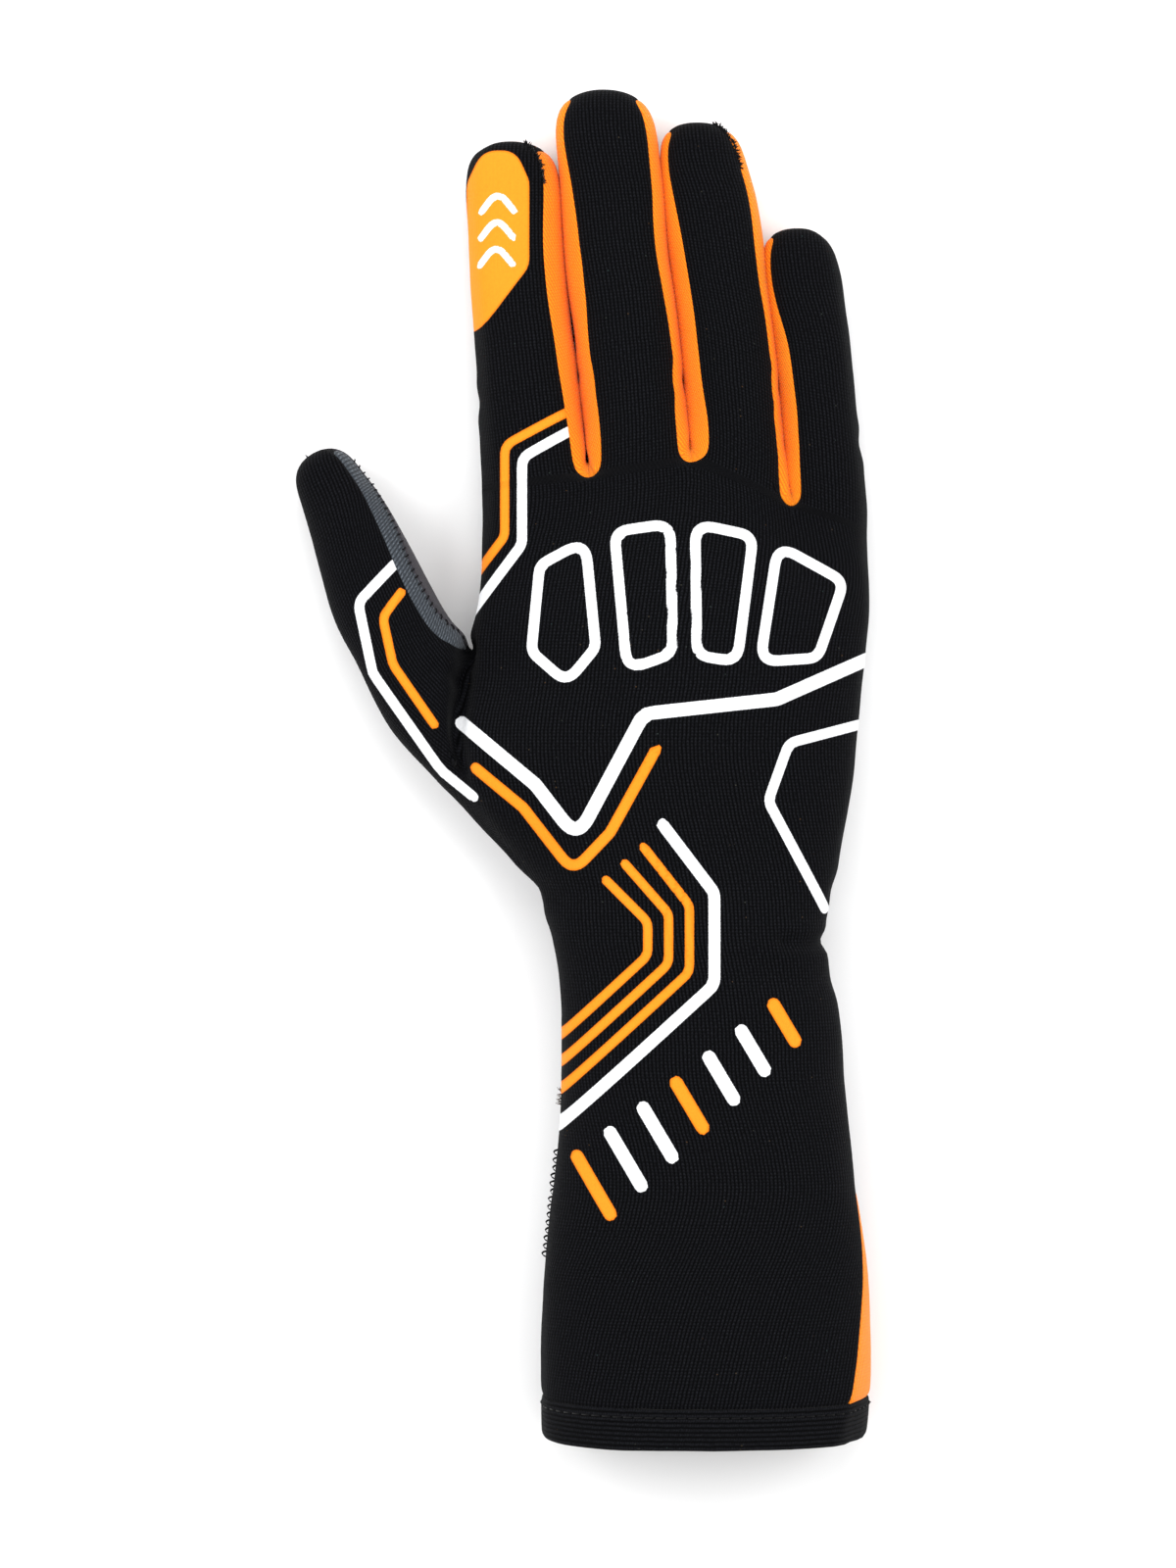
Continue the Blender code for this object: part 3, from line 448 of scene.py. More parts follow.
def finger_surface(f, column, row, turn=0.0):
    """A point of a finger: row is its share of the way to the tip's cap, turn the way over the cap."""
    finger = FINGERS[f]
    length, cap = finger.length * FINGER_LENGTH, finger.cap * FINGER_CAP
    foot_x, foot_y = finger_reference(f)
    base_y = finger_base_y(f, column)
    y = lerp(base_y, foot_y + length - cap, row)
    along = max(0.0, (y - foot_y) / length)

    def section(name):
        return read(finger.sections, along, name)

    shrink, forward = rounded(turn, TIP_ROUNDNESS)
    tip_along = lerp(along, 1.0, forward) if turn else along
    centre = foot_x + length * read(finger.sections, tip_along, "centre")
    half = finger.width * FINGER_WIDTH * section("half") - FINGER_GAP / 2
    height = finger.height * FINGER_HEIGHT
    top, bottom = height * section("top"), height * section("bottom")
    widest = (bottom + top) / 2
    across, up = rounded(finger_angle(f, column, section), FINGER_ROUNDNESS)
    z = widest + (top - widest) * up * shrink
    if web_beside(f, column) is not None:
        half += SIDE_SWELL * smooth(0.0, WEB_ROUND, y - base_y)
        z += WEB_RISE * (1 - smooth(0.0, WEB_RISE_REACH, y - base_y))
    x = centre + half * across * shrink
    x += web_pull(f, column, y - base_y, x)
    return Vector((x, y + cap * forward, max(0.0, z)))


def web_pull(f, column, distance, x):
    """How far a point near a finger's foot is drawn to the crotch, so that the slot ends in a U."""
    on_back = column <= BACK_COLUMNS
    if on_back:
        place = 2 * column / BACK_COLUMNS - 1
    elif FINGER_PALM <= column <= FINGER_LEFT:
        place = 1 - 2 * (column - FINGER_PALM) / PALM_COLUMNS
    else:
        place = 1.0 if column < FINGER_PALM else -1.0
    border = f + 1 if place > 0 else f
    if place == 0 or border in (0, len(FINGERS)):
        return 0.0
    rest = min(1.0, distance / WEB_ROUND)
    pull = 1 - math.sqrt(1 - (1 - rest) ** 2)
    edge = crotch(border)[0]
    if abs(place) == 1:
        return pull * (edge - x)
    return pull * (edge - seam_x(f, border, on_back)) * abs(place) ** WEB_FADE


def seam_x(f, border, on_back):
    """Where the seam beside a crotch would lie at the finger's foot without the U."""
    finger = FINGERS[f]
    foot_x, _ = finger_reference(f)
    right = border == f + 1
    share = finger.sections[0].right_seam if right else finger.sections[0].left_seam
    if not on_back:
        share, _ = rounded(PALM_SEAM, FINGER_ROUNDNESS)
    return foot_x + (1 if right else -1) * finger.width * FINGER_WIDTH * finger.sections[0].half * share


def thumb_way(along, out):
    """A way in plan, along the thumb and out from the hand."""
    ahead = Vector((-math.sin(THUMB_ANGLE), math.cos(THUMB_ANGLE)))
    aside = Vector((-math.cos(THUMB_ANGLE), -math.sin(THUMB_ANGLE)))
    return ahead * along + aside * out


def thumb_place(along, out):
    """A point in plan, told from the thumb's crotch."""
    y = THUMB_CROTCH * HAND_LENGTH
    left, _, _, _ = hand_section(y)
    return Vector((left, y)) + thumb_way(along * THUMB_LENGTH, out * THUMB_WIDTH)


def thumb_angle(column, section):
    """Angle of a thumb ring's column: 0 at the crotch side, 90 on top, 180 at the outer side."""
    over = math.radians(section.back_seam), math.pi - BACK_CORNER
    under = math.pi - SIDE_SEAM, 2 * math.pi + SIDE_SEAM
    end = 2 * math.pi + math.radians(section.palm_seam)
    return angle_in_ring(column, (THUMB_COLUMNS, THUMB_COLUMNS), over, math.pi, under, end)


def thumb_surface(column, section, turn=0.0):
    """A point of the thumb on one of its sections, or on the rounded tip past the last."""
    inner = thumb_place(section.inner_along, section.inner_out)
    outer = thumb_place(section.outer_along, section.outer_out)
    across, up = rounded(thumb_angle(column, section), FINGER_ROUNDNESS)
    shrink, forward = rounded(turn, TIP_ROUNDNESS)
    plan = (inner + outer) / 2 + (inner - outer) / 2 * across * shrink
    if turn:
        plan += thumb_way(THUMB_CAP * forward, 0)
    top = THUMB_HEIGHT * section.height
    bottom = THUMB_HEIGHT * THUMB_BOTTOM
    z = lerp(bottom, top, 0.5) + (top - bottom) / 2 * up * shrink
    return Vector((plan.x, plan.y, max(0.0, z)))


def hand_rows():
    """Rows of the hand's tube: distances below the wrist, then shares of the hand above it."""
    rows = [(-CUFF_LENGTH, False), (-CUFF_LENGTH + HEM_HEIGHT / 2, False)]
    for start, end in ((HEM_LINE, GUSSET_LINE), (GUSSET_LINE, 0.0)):
        steps = round((end - start) / CUFF_STEP)
        rows += [(lerp(start, end, step / steps), False) for step in range(steps)]
    for start, end, steps in (
        (0.0, THUMB_FOOT, WRIST_ROWS),
        (THUMB_FOOT, THUMB_CROTCH, THUMB_ROWS),
        (THUMB_CROTCH, 1.0, KNUCKLE_ROWS),
    ):
        rows += [(lerp(start, end, step / steps), True) for step in range(steps)]
    return rows + [(1.0, True)]


ROWS = hand_rows()
FOOT_ROW = ROWS.index((THUMB_FOOT, True))
CROTCH_ROW = ROWS.index((THUMB_CROTCH, True))
THUMB_COLUMNS = CROTCH_ROW - FOOT_ROW
THUMB_RING = 2 * THUMB_COLUMNS + SIDE_COLUMNS + 2
THUMB_ROW_COUNT = 2 * len(THUMB_SECTIONS)  # to the tip's cap


def hand_point(column, r):
    """A point of the hand's tube, with the knuckles raised towards the fingers."""
    place, in_hand = ROWS[r]
    column %= HAND_RING
    if not in_hand:
        return hand_surface(column, place)
    ahead = knuckle_along(column)
    y = HAND_LENGTH * place * lerp(1.0, ahead, smooth(THUMB_CROTCH, 1.0, place))
    point = hand_surface(column, y)
    raised = smooth(1 - KNUCKLE_REACH, 1.0, place)
    if raised:
        point += raised * (knuckle_point(column) - hand_surface(column, HAND_LENGTH * ahead))
    point.z = max(0.0, point.z)
    return point


def knuckle_point(column):
    """The foot of the finger above a column of the hand ring."""
    last = len(FINGERS) - 1
    if column == RIGHT_MIDDLE:
        return finger_surface(last, BACK_COLUMNS + 1, 0.0)
    if column == LEFT_MIDDLE:
        return finger_surface(0, FINGER_LEFT + 1, 0.0)
    if column <= BACK:
        f = min(column // BACK_COLUMNS, last)
        return finger_surface(f, column - f * BACK_COLUMNS, 0.0)
    place = column - PALM
    f = last - min(place // PALM_COLUMNS, last)
    return finger_surface(f, FINGER_PALM + place - (last - f) * PALM_COLUMNS, 0.0)


def finger_places():
    """Rows of a finger's tube, each its share of the straight part and its turn over the cap."""
    start = FINGER_FOOT_ROWS[-1]
    rows = list(FINGER_FOOT_ROWS) + [lerp(start, 1.0, (i + 1) / FINGER_ROWS) for i in range(FINGER_ROWS)]
    return [(row, 0.0) for row in rows] + [(1.0, turn) for turn in CAP_TURNS]


FINGER_PLACES = finger_places()


def finger_point(f, column, r):
    """A point of a finger's tube."""
    column %= FINGER_RING
    border = web_beside(f, column)
    if r > 0:
        return finger_surface(f, column, *FINGER_PLACES[r])
    if border is None:
        return hand_point(base_column(f, column), len(ROWS) - 1)
    x, y = crotch(border)
    level = finger_surface(border - 1, BACK_COLUMNS + 1, FINGER_PLACES[1][0]).z
    return Vector((x, y + WEB_DEPTH, level))


def thumb_point(column, r):
    """A point of the thumb's tube, which has one more row halfway from each section to the next."""
    column %= THUMB_RING
    if r >= THUMB_ROW_COUNT:
        return thumb_knot(column, len(THUMB_SECTIONS) + r - THUMB_ROW_COUNT)
    i, between = divmod(r, 2)
    if not between:
        return thumb_knot(column, i)
    before, here, there, after = (thumb_knot(column, max(k, 0)) for k in range(i - 1, i + 3))
    point = (9 * (here + there) - before - after) / 16  # halfway on the cubic through the four
    point.z = max(0.0, point.z)
    return point


def thumb_knot(column, r):
    """A point of the thumb on a section or past the last; 0 is the opening in the hand's side."""
    if r > 0:
        place = min(r, len(THUMB_SECTIONS)) - 1
        turn = CAP_TURNS[r - len(THUMB_SECTIONS) - 1] if r > len(THUMB_SECTIONS) else 0.0
        return thumb_surface(column, THUMB_SECTIONS[place], turn)
    if column <= THUMB_COLUMNS:
        return hand_point(0, CROTCH_ROW - column)
    if column == THUMB_COLUMNS + 1:
        return hand_point(LEFT_MIDDLE, FOOT_ROW)
    if column <= 2 * THUMB_COLUMNS + SIDE_COLUMNS:
        return hand_point(LEFT, FOOT_ROW + column - THUMB_COLUMNS - SIDE_COLUMNS)
    return hand_point(LEFT_MIDDLE, CROTCH_ROW)


def hand_panel(column, r):
    """The panel that a face of the hand's tube belongs to."""
    place, in_hand = ROWS[r]
    if not in_hand and place < HEM_LINE - MM:
        return "hem_band"
    if column < BACK:
        return "back_panel"
    if column < PALM:
        return "back_panel" if in_hand or place > GUSSET_LINE - MM else "cuff_gusset"
    if column < LEFT:
        return "palm_panel"
    if not in_hand or r < FOOT_ROW:
        return "palm_panel" if column == LEFT else "back_panel"
    return "back_panel" if r >= CROTCH_ROW else None


def finger_panel(f, column, r):
    """The panel that a face of a finger's tube belongs to."""
    if column < BACK_COLUMNS:
        return "back_panel"
    if FINGER_PALM <= column < FINGER_LEFT:
        return "palm_panel"
    on_right = column < FINGER_PALM
    if r < len(FINGER_PLACES) - len(CAP_TURNS) - 1 + FOURCHETTE_CAP_RINGS:
        border = f + 1 if on_right else f
        if border in (0, len(FINGERS)):
            return "back_panel"
        return f"{FINGERS[border - 1].name}_{FINGERS[border].name}_fourchette"
    return "back_panel" if column in (BACK_COLUMNS, FINGER_RING - 1) else "palm_panel"


def thumb_panel(column, r):
    """The panel that a face of the thumb's tube belongs to."""
    if column < THUMB_COLUMNS + SIDE_COLUMNS:
        return "back_panel"
    if column < THUMB_RING - 1:
        return "thumb_palm"
    return "thumb_gusset" if r < THUMB_ROW_COUNT + FOURCHETTE_CAP_RINGS else "back_panel"


def lay_tube(skin, layers, columns, rows, wrap, middle, point, panel, start=None):
    """Bends a grid into one tube of the skin and marks its faces with panels and cloth coordinates.

    wrap is the first column whose cloth is told from the ring's start backwards, middle the column that the
    cloth's width is told from, and start the cloth coordinates of row 0 where another tube sets them.
    """
    panel_layer, cloth_layer = layers
    points = [[point(column, r) for column in range(columns)] for r in range(rows + 1)]
    marks = []
    length = 0.0
    for r, ring in enumerate(points):
        arcs = [0.0]
        for here, there in zip(ring, ring[1:] + ring[:1]):
            arcs.append(arcs[-1] + (there - here).length)
        if r:
            length += (ring[middle] - points[r - 1][middle]).length
        across = points[0][middle].x - arcs[middle]
        marks.append([(across + arc, points[0][middle].y + length) for arc in arcs])
    if start:
        marks[0] = [start(column) or mark for column, mark in enumerate(marks[0])]
    made = bmesh.ops.create_grid(skin, x_segments=columns, y_segments=rows, size=1.0)
    spots = {}
    for vert in made["verts"]:
        column = round((vert.co.x + 1) / 2 * columns)
        spots[vert] = column, round((vert.co.y + 1) / 2 * rows)
    for face in {face for vert in spots for face in vert.link_faces}:
        cell = min(spots[vert][0] for vert in face.verts)
        r = min(spots[vert][1] for vert in face.verts)
        name = panel(cell, r)
        face[panel_layer] = PANELS.index(name) if name else len(PANELS)
        for loop in face.loops:
            column, row = spots[loop.vert]
            u, v = marks[row][column]
            total = marks[row][-1][0] - marks[row][0][0]
            loop[cloth_layer].uv = (u - total if cell >= wrap else u, v)
    for vert, (column, row) in spots.items():
        vert.co = points[row][column % columns]
    return marks


def sew_skin():
    """The whole skin as one mesh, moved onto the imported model."""
    skin = bmesh.new()
    layers = skin.faces.layers.int.new("panel"), skin.loops.layers.uv.new("cloth")
    size = HAND_RING, len(ROWS) - 1, LEFT_MIDDLE, BACK // 2
    marks = lay_tube(skin, layers, *size, hand_point, hand_panel)
    for f in range(len(FINGERS)):

        def start(column, f=f):
            place = base_column(f, column % FINGER_RING)
            return marks[-1][place] if column <= BACK_COLUMNS else None

        size = FINGER_RING, len(FINGER_PLACES) - 1, FINGER_LEFT, BACK_COLUMNS // 2
        lay_tube(skin, layers, *size, partial(finger_point, f), partial(finger_panel, f), start)
    before = set(skin.faces)
    size = THUMB_RING, THUMB_ROW_COUNT + len(CAP_TURNS), THUMB_RING - 1, THUMB_COLUMNS // 2
    lay_tube(skin, layers, *size, thumb_point, thumb_panel)
    bmesh.ops.reverse_faces(skin, faces=[face for face in skin.faces if face not in before])
    gaps = [face for face in skin.faces if face[layers[0]] == len(PANELS)]
    bmesh.ops.delete(skin, geom=gaps, context="FACES")
    bmesh.ops.remove_doubles(skin, verts=skin.verts[:], dist=WELD)
    bmesh.ops.recalc_face_normals(skin, faces=skin.faces[:])
    lows = [min(vert.co[axis] for vert in skin.verts) for axis in range(3)]
    highs = [max(vert.co[axis] for vert in skin.verts) for axis in range(3)]
    origin = Vector(((lows[0] + highs[0]) / 2, highs[1], lows[2]))
    place = Vector(((cad_low.x + cad_high.x) / 2, cad_high.y, cad_low.z))
    bmesh.ops.translate(skin, verts=skin.verts[:], vec=place - origin)
    return skin, place - origin


def new_object(name, mesh):
    item = bpy.data.objects.new(name, mesh)
    bpy.context.scene.collection.objects.link(item)
    return item


def applied(item):
    """Applies an object's modifiers to its mesh."""
    graph = bpy.context.evaluated_depsgraph_get()
    mesh = bpy.data.meshes.new_from_object(item.evaluated_get(graph))
    old = item.data
    item.modifiers.clear()
    item.data = mesh
    bpy.data.meshes.remove(old)


def keep_corners(sheet):
    """Marks the corners of a sheet's rim, so that the subdivision leaves them square."""
    crease = sheet.verts.layers.float.new("crease_vert")
    for vert in [vert for vert in sheet.verts if vert.is_boundary]:
        edges = [edge for edge in vert.link_edges if edge.is_boundary]
        first, second = (edge.other_vert(vert).co - vert.co for edge in edges)
        if first.angle(second) < CORNER_ANGLE:
            vert[crease] = 1.0


def cut_panel(skin, name):
    """One panel of the skin as a fine sheet whose edges are rolled in at its seams."""
    sheet = skin.copy()
    layer = sheet.faces.layers.int["panel"]
    others = [face for face in sheet.faces if face[layer] != PANELS.index(name)]
    bmesh.ops.delete(sheet, geom=others, context="FACES")
    ways = dict.fromkeys(("use_boundary", "use_even_offset", "use_interpolate"), True)
    bmesh.ops.inset_region(sheet, faces=sheet.faces[:], thickness=ROLL_WIDTH, depth=0.0, **ways)
    sheet.normal_update()
    if name == "cuff_gusset":
        keep_corners(sheet)
    for vert in [vert for vert in sheet.verts if vert.is_boundary]:
        vert.co -= vert.normal * ROLL_DEPTH
        vert.co.z = max(vert.co.z, 0.0)
    mesh = bpy.data.meshes.new(name)
    sheet.to_mesh(mesh)
    sheet.free()
    item = new_object(f"{name}_cloth", mesh)
    finer = item.modifiers.new("finer", "SUBSURF")
    finer.levels = finer.render_levels = CLOTH_LEVELS
    applied(item)
    item.data.shade_smooth()
    return item


def give_wall(item, thickness):
    """Gives a sheet its thickness, inwards."""
    wall = item.modifiers.new("wall", "SOLIDIFY")
    wall.thickness = thickness
    wall.offset = -1.0


# Prints on the back, in millimetres of the drawn glove from the middle of its box. Each band runs through
# its points with rounded bends.
PRINT_COLORS = ("white", "orange")
NO_PRINT = 99.0  # stored where no print is near
Band = namedtuple("Band", "color width closed points")
BANDS = [Band(*row) for row in (
    ("orange", 2.2, False, ((-1, 89), (-19.5, 79), (-19.5, 57), (-33, 40))),
    ("white", 2.4, False, ((-1, 84.2), (-15.3, 76), (-15.3, 55), (-29, 37))),
    ("white", 2.5, True, ((-11, 50), (0, 56), (2.5, 30), (-4.5, 21.5), (-13, 29))),
    ("white", 2.5, True, ((7, 58), (20.5, 60), (21, 28.5), (10, 24.5))),
    ("white", 2.5, True, ((26.5, 60), (40.5, 57), (36.5, 26.5), (26.8, 28))),
    ("white", 2.5, True, ((46.5, 55), (62.5, 46), (56, 27.5), (42, 26.5))),
    ("white", 3.2, False, ((-30, 12), (-12, -3), (-2, -16), (14, 14), (46, 17.5), (72, 29))),
    ("orange", 2.6, False, ((-26.5, 1), (-15, -8.5), (-3, -24), (6, -14.5), (17, 5.5))),
    ("white", 2.4, False, ((72, 13), (49, 7), (44, -7), (58, -33))),
    ("orange", 2.2, False, ((5, -26), (15, -36), (15, -44), (-14, -71))),
    ("orange", 2.2, False, ((9.5, -22), (20, -34), (20, -46), (-14, -77.5))),
    ("orange", 2.2, False, ((14, -18), (25, -32), (25, -48), (-14, -84))),
    ("white", 2.8, False, ((18.5, -12.5), (31, -29), (31, -51), (-14, -92))),
    ("white", 2.4, False, ((-46, 50.5), (-55, 41), (-51.5, 24), (-35, 0.5), (-27, -6))),
    ("orange", 2.2, False, ((-44.5, 43.5), (-49, 37.5), (-46.5, 26), (-36.5, 11.5))),
)]
BAND_BEND = 3.6  # radius of the bands' bends
BEND_STEPS = 7

# Slanted bars on the cuff, each shorter than the last
BAR_COUNT = 7
BAR_WIDTH = 3.2
BAR_START = (6, -106)
BAR_STEP = (7.4, 6.9)
BAR_WAY = (-8.0, 13.5)
BAR_SHRINK = 0.93
ORANGE_BAR_EVERY = 3

# The fingertip patch's outline, and the chevrons on it
PATCH = ((-29.5, 101.5), (-28.9, 143.5), (-25.0, 151.0), (-17.0, 151.0), (-13.6, 143.5), (-13.6, 122.5))
PATCH_BEND = 5.5
PATCH_CHEVRONS = [Band(*row) for row in (
    ("white", 1.6, False, ((-25.2, 136), (-21.3, 141), (-17.2, 136))),
    ("white", 1.6, False, ((-25.4, 129.5), (-21.5, 134.5), (-17.4, 129.5))),
    ("white", 1.6, False, ((-25.6, 123), (-21.7, 128), (-17.6, 123))),
)]


def rounded_route(points, radius, closed):
    """The points of a route with its bends rounded off."""
    points = [Vector(point) for point in points]
    count = len(points)
    route = []
    for i, point in enumerate(points):
        if not closed and i in (0, count - 1):
            route.append(point)
            continue
        back, ahead = points[i - 1] - point, points[(i + 1) % count] - point
        half_turn = back.angle(ahead) / 2
        reach = min(radius / math.tan(half_turn), back.length / 2, ahead.length / 2)
        start, end = point + back.normalized() * reach, point + ahead.normalized() * reach
        for step in range(BEND_STEPS + 1):
            share = step / BEND_STEPS
            route.append(start.lerp(point, share).lerp(point.lerp(end, share), share))
    if closed:
        route.append(route[0])
    return np.array([tuple(point) for point in route])


def distance_to(route, places):
    """Distance in plan of each place from a route."""
    nearest = np.full(len(places), np.inf)
    for start, end in zip(route, route[1:]):
        way = end - start
        share = np.clip((places - start) @ way / max(way @ way, 1e-9), 0, 1)
        nearest = np.minimum(nearest, np.linalg.norm(places - start - share[:, None] * way, axis=1))
    return nearest


def inside(route, places):
    """Whether each place lies inside a closed route."""
    odd = np.zeros(len(places), bool)
    for (x0, y0), (x1, y1) in zip(route, route[1:]):
        if y0 == y1:
            continue
        crosses = (places[:, 1] < y0) != (places[:, 1] < y1)
        odd ^= crosses & (places[:, 0] < x0 + (places[:, 1] - y0) * (x1 - x0) / (y1 - y0))
    return odd


def point_places(mesh):
    """The places of a mesh's points, a row for each."""
    spots = np.empty(3 * len(mesh.vertices))
    mesh.vertices.foreach_get("co", spots)
    return spots.reshape(-1, 3)


# Folds in the cloth: each a valley along a route in plan, in millimetres, on the upper side, 1, or the lower
Fold = namedtuple("Fold", "side depth width points")
FOLDS = [Fold(*row) for row in (
    (1, 1.3, 2.2, ((-28.5, 29), (-29.5, 22), (-31.5, 9), (-30, 1))),
    (1, 0.6, 1.5, ((-36, 25.5), (-30, 22))),
    (1, 1.0, 1.6, ((64, -40.3), (56, -41.2), (48, -40.8))),
    (1, 0.4, 2.4, ((-15, -27), (-6, -30), (4, -29))),
    (1, 0.4, 2.6, ((40, -47), (52, -51), (61, -50))),
    (1, 0.25, 0.9, ((64.3, -168), (64.3, -156))),
    (-1, 1.0, 2.4, ((-22, 20), (0, 29), (30, 31), (56, 24))),
    (-1, 0.9, 2.4, ((-28, 10), (-6, 9), (22, 16), (54, 8))),
    (-1, 0.8, 2.6, ((-20, -28), (5, -33), (35, -33), (58, -28))),
    (-1, 0.7, 2.2, ((-26, 90), (-4, 90))),
    (-1, 0.7, 2.2, ((0, 96), (24, 96))),
    (-1, 0.7, 2.2, ((26, 94), (48, 94))),
    (-1, 0.7, 2.2, ((50, 80), (68, 80))),
)]
FOLD_LIP = 0.4  # height of the swell beside a fold, as a share of its depth
FOLD_LIP_PLACE = 2.1  # and its distance, in the fold's widths
FOLD_ROUND, FOLD_FADE = 0.4, 0.6  # how far a fold runs on round the side, and over what it fades
SLACK = ((24.0, 0.45), (9.0, 0.16))  # sizes and heights of the cloth's uneven lie, in millimetres


def fold_cloth(item):
    """Presses the folds into a panel and lets its cloth lie a little unevenly."""
    mesh = item.data
    spots = point_places(mesh)
    normals = np.empty(spots.size)
    mesh.vertex_normals.foreach_get("vector", normals)
    normals = normals.reshape(-1, 3)
    moved = np.zeros(len(spots))
    for fold in FOLDS:
        gap = distance_to(np.array(fold.points, float), spots[:, :2] / MM) / fold.width
        valley = FOLD_LIP * np.exp(-((gap - FOLD_LIP_PLACE) ** 2)) - np.exp(-(gap**2))
        share = np.clip((fold.side * normals[:, 2] + FOLD_ROUND) / FOLD_FADE, 0, 1)
        moved += fold.depth * valley * share * MM
    for size, height in SLACK:
        waves = [noise.noise(Vector(spot) / (size * MM)) for spot in spots]
        moved += np.array(waves) * height * MM
    spots += normals * moved[:, None]
    spots[:, 2] = np.maximum(spots[:, 2], cad_low.z)
    mesh.vertices.foreach_set("co", spots.ravel())
    mesh.update()


def cuff_bars():
    """The slanted bars, as bands."""
    bars = []
    for i in range(BAR_COUNT):
        start = (BAR_START[0] + i * BAR_STEP[0], BAR_START[1] + i * BAR_STEP[1])
        length = BAR_SHRINK**i
        end = (start[0] + BAR_WAY[0] * length, start[1] + BAR_WAY[1] * length)
        color = "white" if i % ORANGE_BAR_EVERY else "orange"
        bars.append(Band(color, BAR_WIDTH, False, (start, end)))
    return bars


def print_back(item):
    """Stores how far, in millimetres, each point of the back lies from the edge of each color's prints."""
    mesh = item.data
    places = point_places(mesh)[:, :2] / MM
    depth = {color: np.full(len(places), NO_PRINT) for color in PRINT_COLORS}
    for band in (*BANDS, *cuff_bars(), *PATCH_CHEVRONS):
        route = rounded_route(band.points, BAND_BEND, band.closed)
        depth[band.color] = np.minimum(depth[band.color], distance_to(route, places) - band.width / 2)
    outline = rounded_route(PATCH, PATCH_BEND, True)
    edge = distance_to(outline, places)
    depth["orange"] = np.minimum(depth["orange"], np.where(inside(outline, places), -edge, edge))
    for color, values in depth.items():
        layer = mesh.attributes.new(f"{color}_print", "FLOAT", "POINT")
        layer.data.foreach_set("value", values.astype(np.float32))


class Graph:
    """Adds nodes to a material or a node group in few words."""

    def __init__(self, tree):
        self.tree = tree

    def link(self, output, socket):
        self.tree.links.new(output, socket)

    def add(self, kind, inputs=None, **settings):
        node = self.tree.nodes.new(kind)
        for name, value in settings.items():
            setattr(node, name, value)
        for name, value in (inputs or {}).items():
            if isinstance(value, bpy.types.NodeSocket):
                self.link(value, node.inputs[name])
            else:
                node.inputs[name].default_value = value
        return node

    def math(self, operation, *values):
        return self.add("ShaderNodeMath", dict(enumerate(values)), operation=operation).outputs[0]

    def times(self, first, second):
        return self.math("MULTIPLY", first, second)

    def in_mm(self, vector):
        inputs = {0: vector, 1: (1 / MM,) * 3}
        return self.add("ShaderNodeVectorMath", inputs, operation="MULTIPLY").outputs[0]

    def swapped(self, vector):
        """The vector with its X and Y changed round."""
        parts = self.add("ShaderNodeSeparateXYZ", {"Vector": vector}).outputs
        return self.add("ShaderNodeCombineXYZ", {"X": parts["Y"], "Y": parts["X"]}).outputs[0]

    def mix(self, share, *colors):
        inputs = {0: share}
        for socket, color in zip((6, 7), colors):
            inputs[socket] = color if isinstance(color, bpy.types.NodeSocket) else (*color, 1.0)
        return self.add("ShaderNodeMix", inputs, data_type="RGBA").outputs[2]

    def ramp(self, value, low, high, start=0.0, end=1.0):
        inputs = {"Value": value, "From Min": low, "From Max": high, "To Min": start, "To Max": end}
        return self.add("ShaderNodeMapRange", inputs, clamp=True).outputs[0]

    def noise(self, vector, scale, detail=2.0, roughness=0.5):
        inputs = {"Vector": vector, "Scale": scale, "Detail": detail, "Roughness": roughness}
        return self.add("ShaderNodeTexNoise", inputs).outputs["Fac"]

    def group(self, tree, **inputs):
        return self.add("ShaderNodeGroup", inputs, node_tree=tree).outputs


def new_group(name, inputs, outputs):
    """An empty shader node group, with its graph and its input and output nodes."""
    tree = bpy.data.node_groups.new(name, "ShaderNodeTree")
    for side, sockets in (("INPUT", inputs), ("OUTPUT", outputs)):
        for title, kind in sockets.items():
            tree.interface.new_socket(title, in_out=side, socket_type=f"NodeSocket{kind}")
    graph = Graph(tree)
    return graph, graph.add("NodeGroupInput").outputs, graph.add("NodeGroupOutput").inputs


def make_knit_group():
    """Stocking stitch: columns of small V-shaped loops, in millimetres of cloth, with a share of painted
    light that is high on the loops' tops and low in their hollows.
    """
    inputs = {"Cloth": "Vector", "Wale": "Float", "Course": "Float", "Slant": "Float"}
    graph, given, told = new_group("knit_loops", inputs, {"Height": "Float", "Shade": "Float"})
    drift = graph.noise(given["Cloth"], 0.35, 1.0)
    parts = graph.add("ShaderNodeSeparateXYZ", {"Vector": given["Cloth"]}).outputs
    slanted = graph.math("MULTIPLY_ADD", parts["Y"], given["Slant"], parts["X"])
    column = graph.math("DIVIDE", graph.math("ADD", slanted, graph.times(drift, 0.35)), given["Wale"])
    off_middle = graph.math("SUBTRACT", graph.math("FRACT", column), 0.5)
    leg = graph.times(graph.math("ABSOLUTE", off_middle), 2)
    rib = graph.math("SUBTRACT", 1.0, graph.times(leg, leg))
    along = graph.math("DIVIDE", parts["Y"], given["Course"])
    loop = graph.math("COSINE", graph.times(graph.math("MULTIPLY_ADD", leg, 0.5, along), math.tau))
    loop = graph.math("MULTIPLY_ADD", loop, 0.5, 0.5)
    height = graph.times(rib, graph.math("MULTIPLY_ADD", loop, 0.4, 0.6))
    graph.link(height, told["Height"])
    uneven = graph.ramp(graph.noise(given["Cloth"], 1.8, 3.0, 0.7), 0.25, 0.75)
    # Painted light: the loops' tops are coloured lighter than the hollows between them, by the square of
    # their height, varied at random
    graph.link(graph.times(graph.times(height, height), uneven), told["Shade"])
    return graph.tree


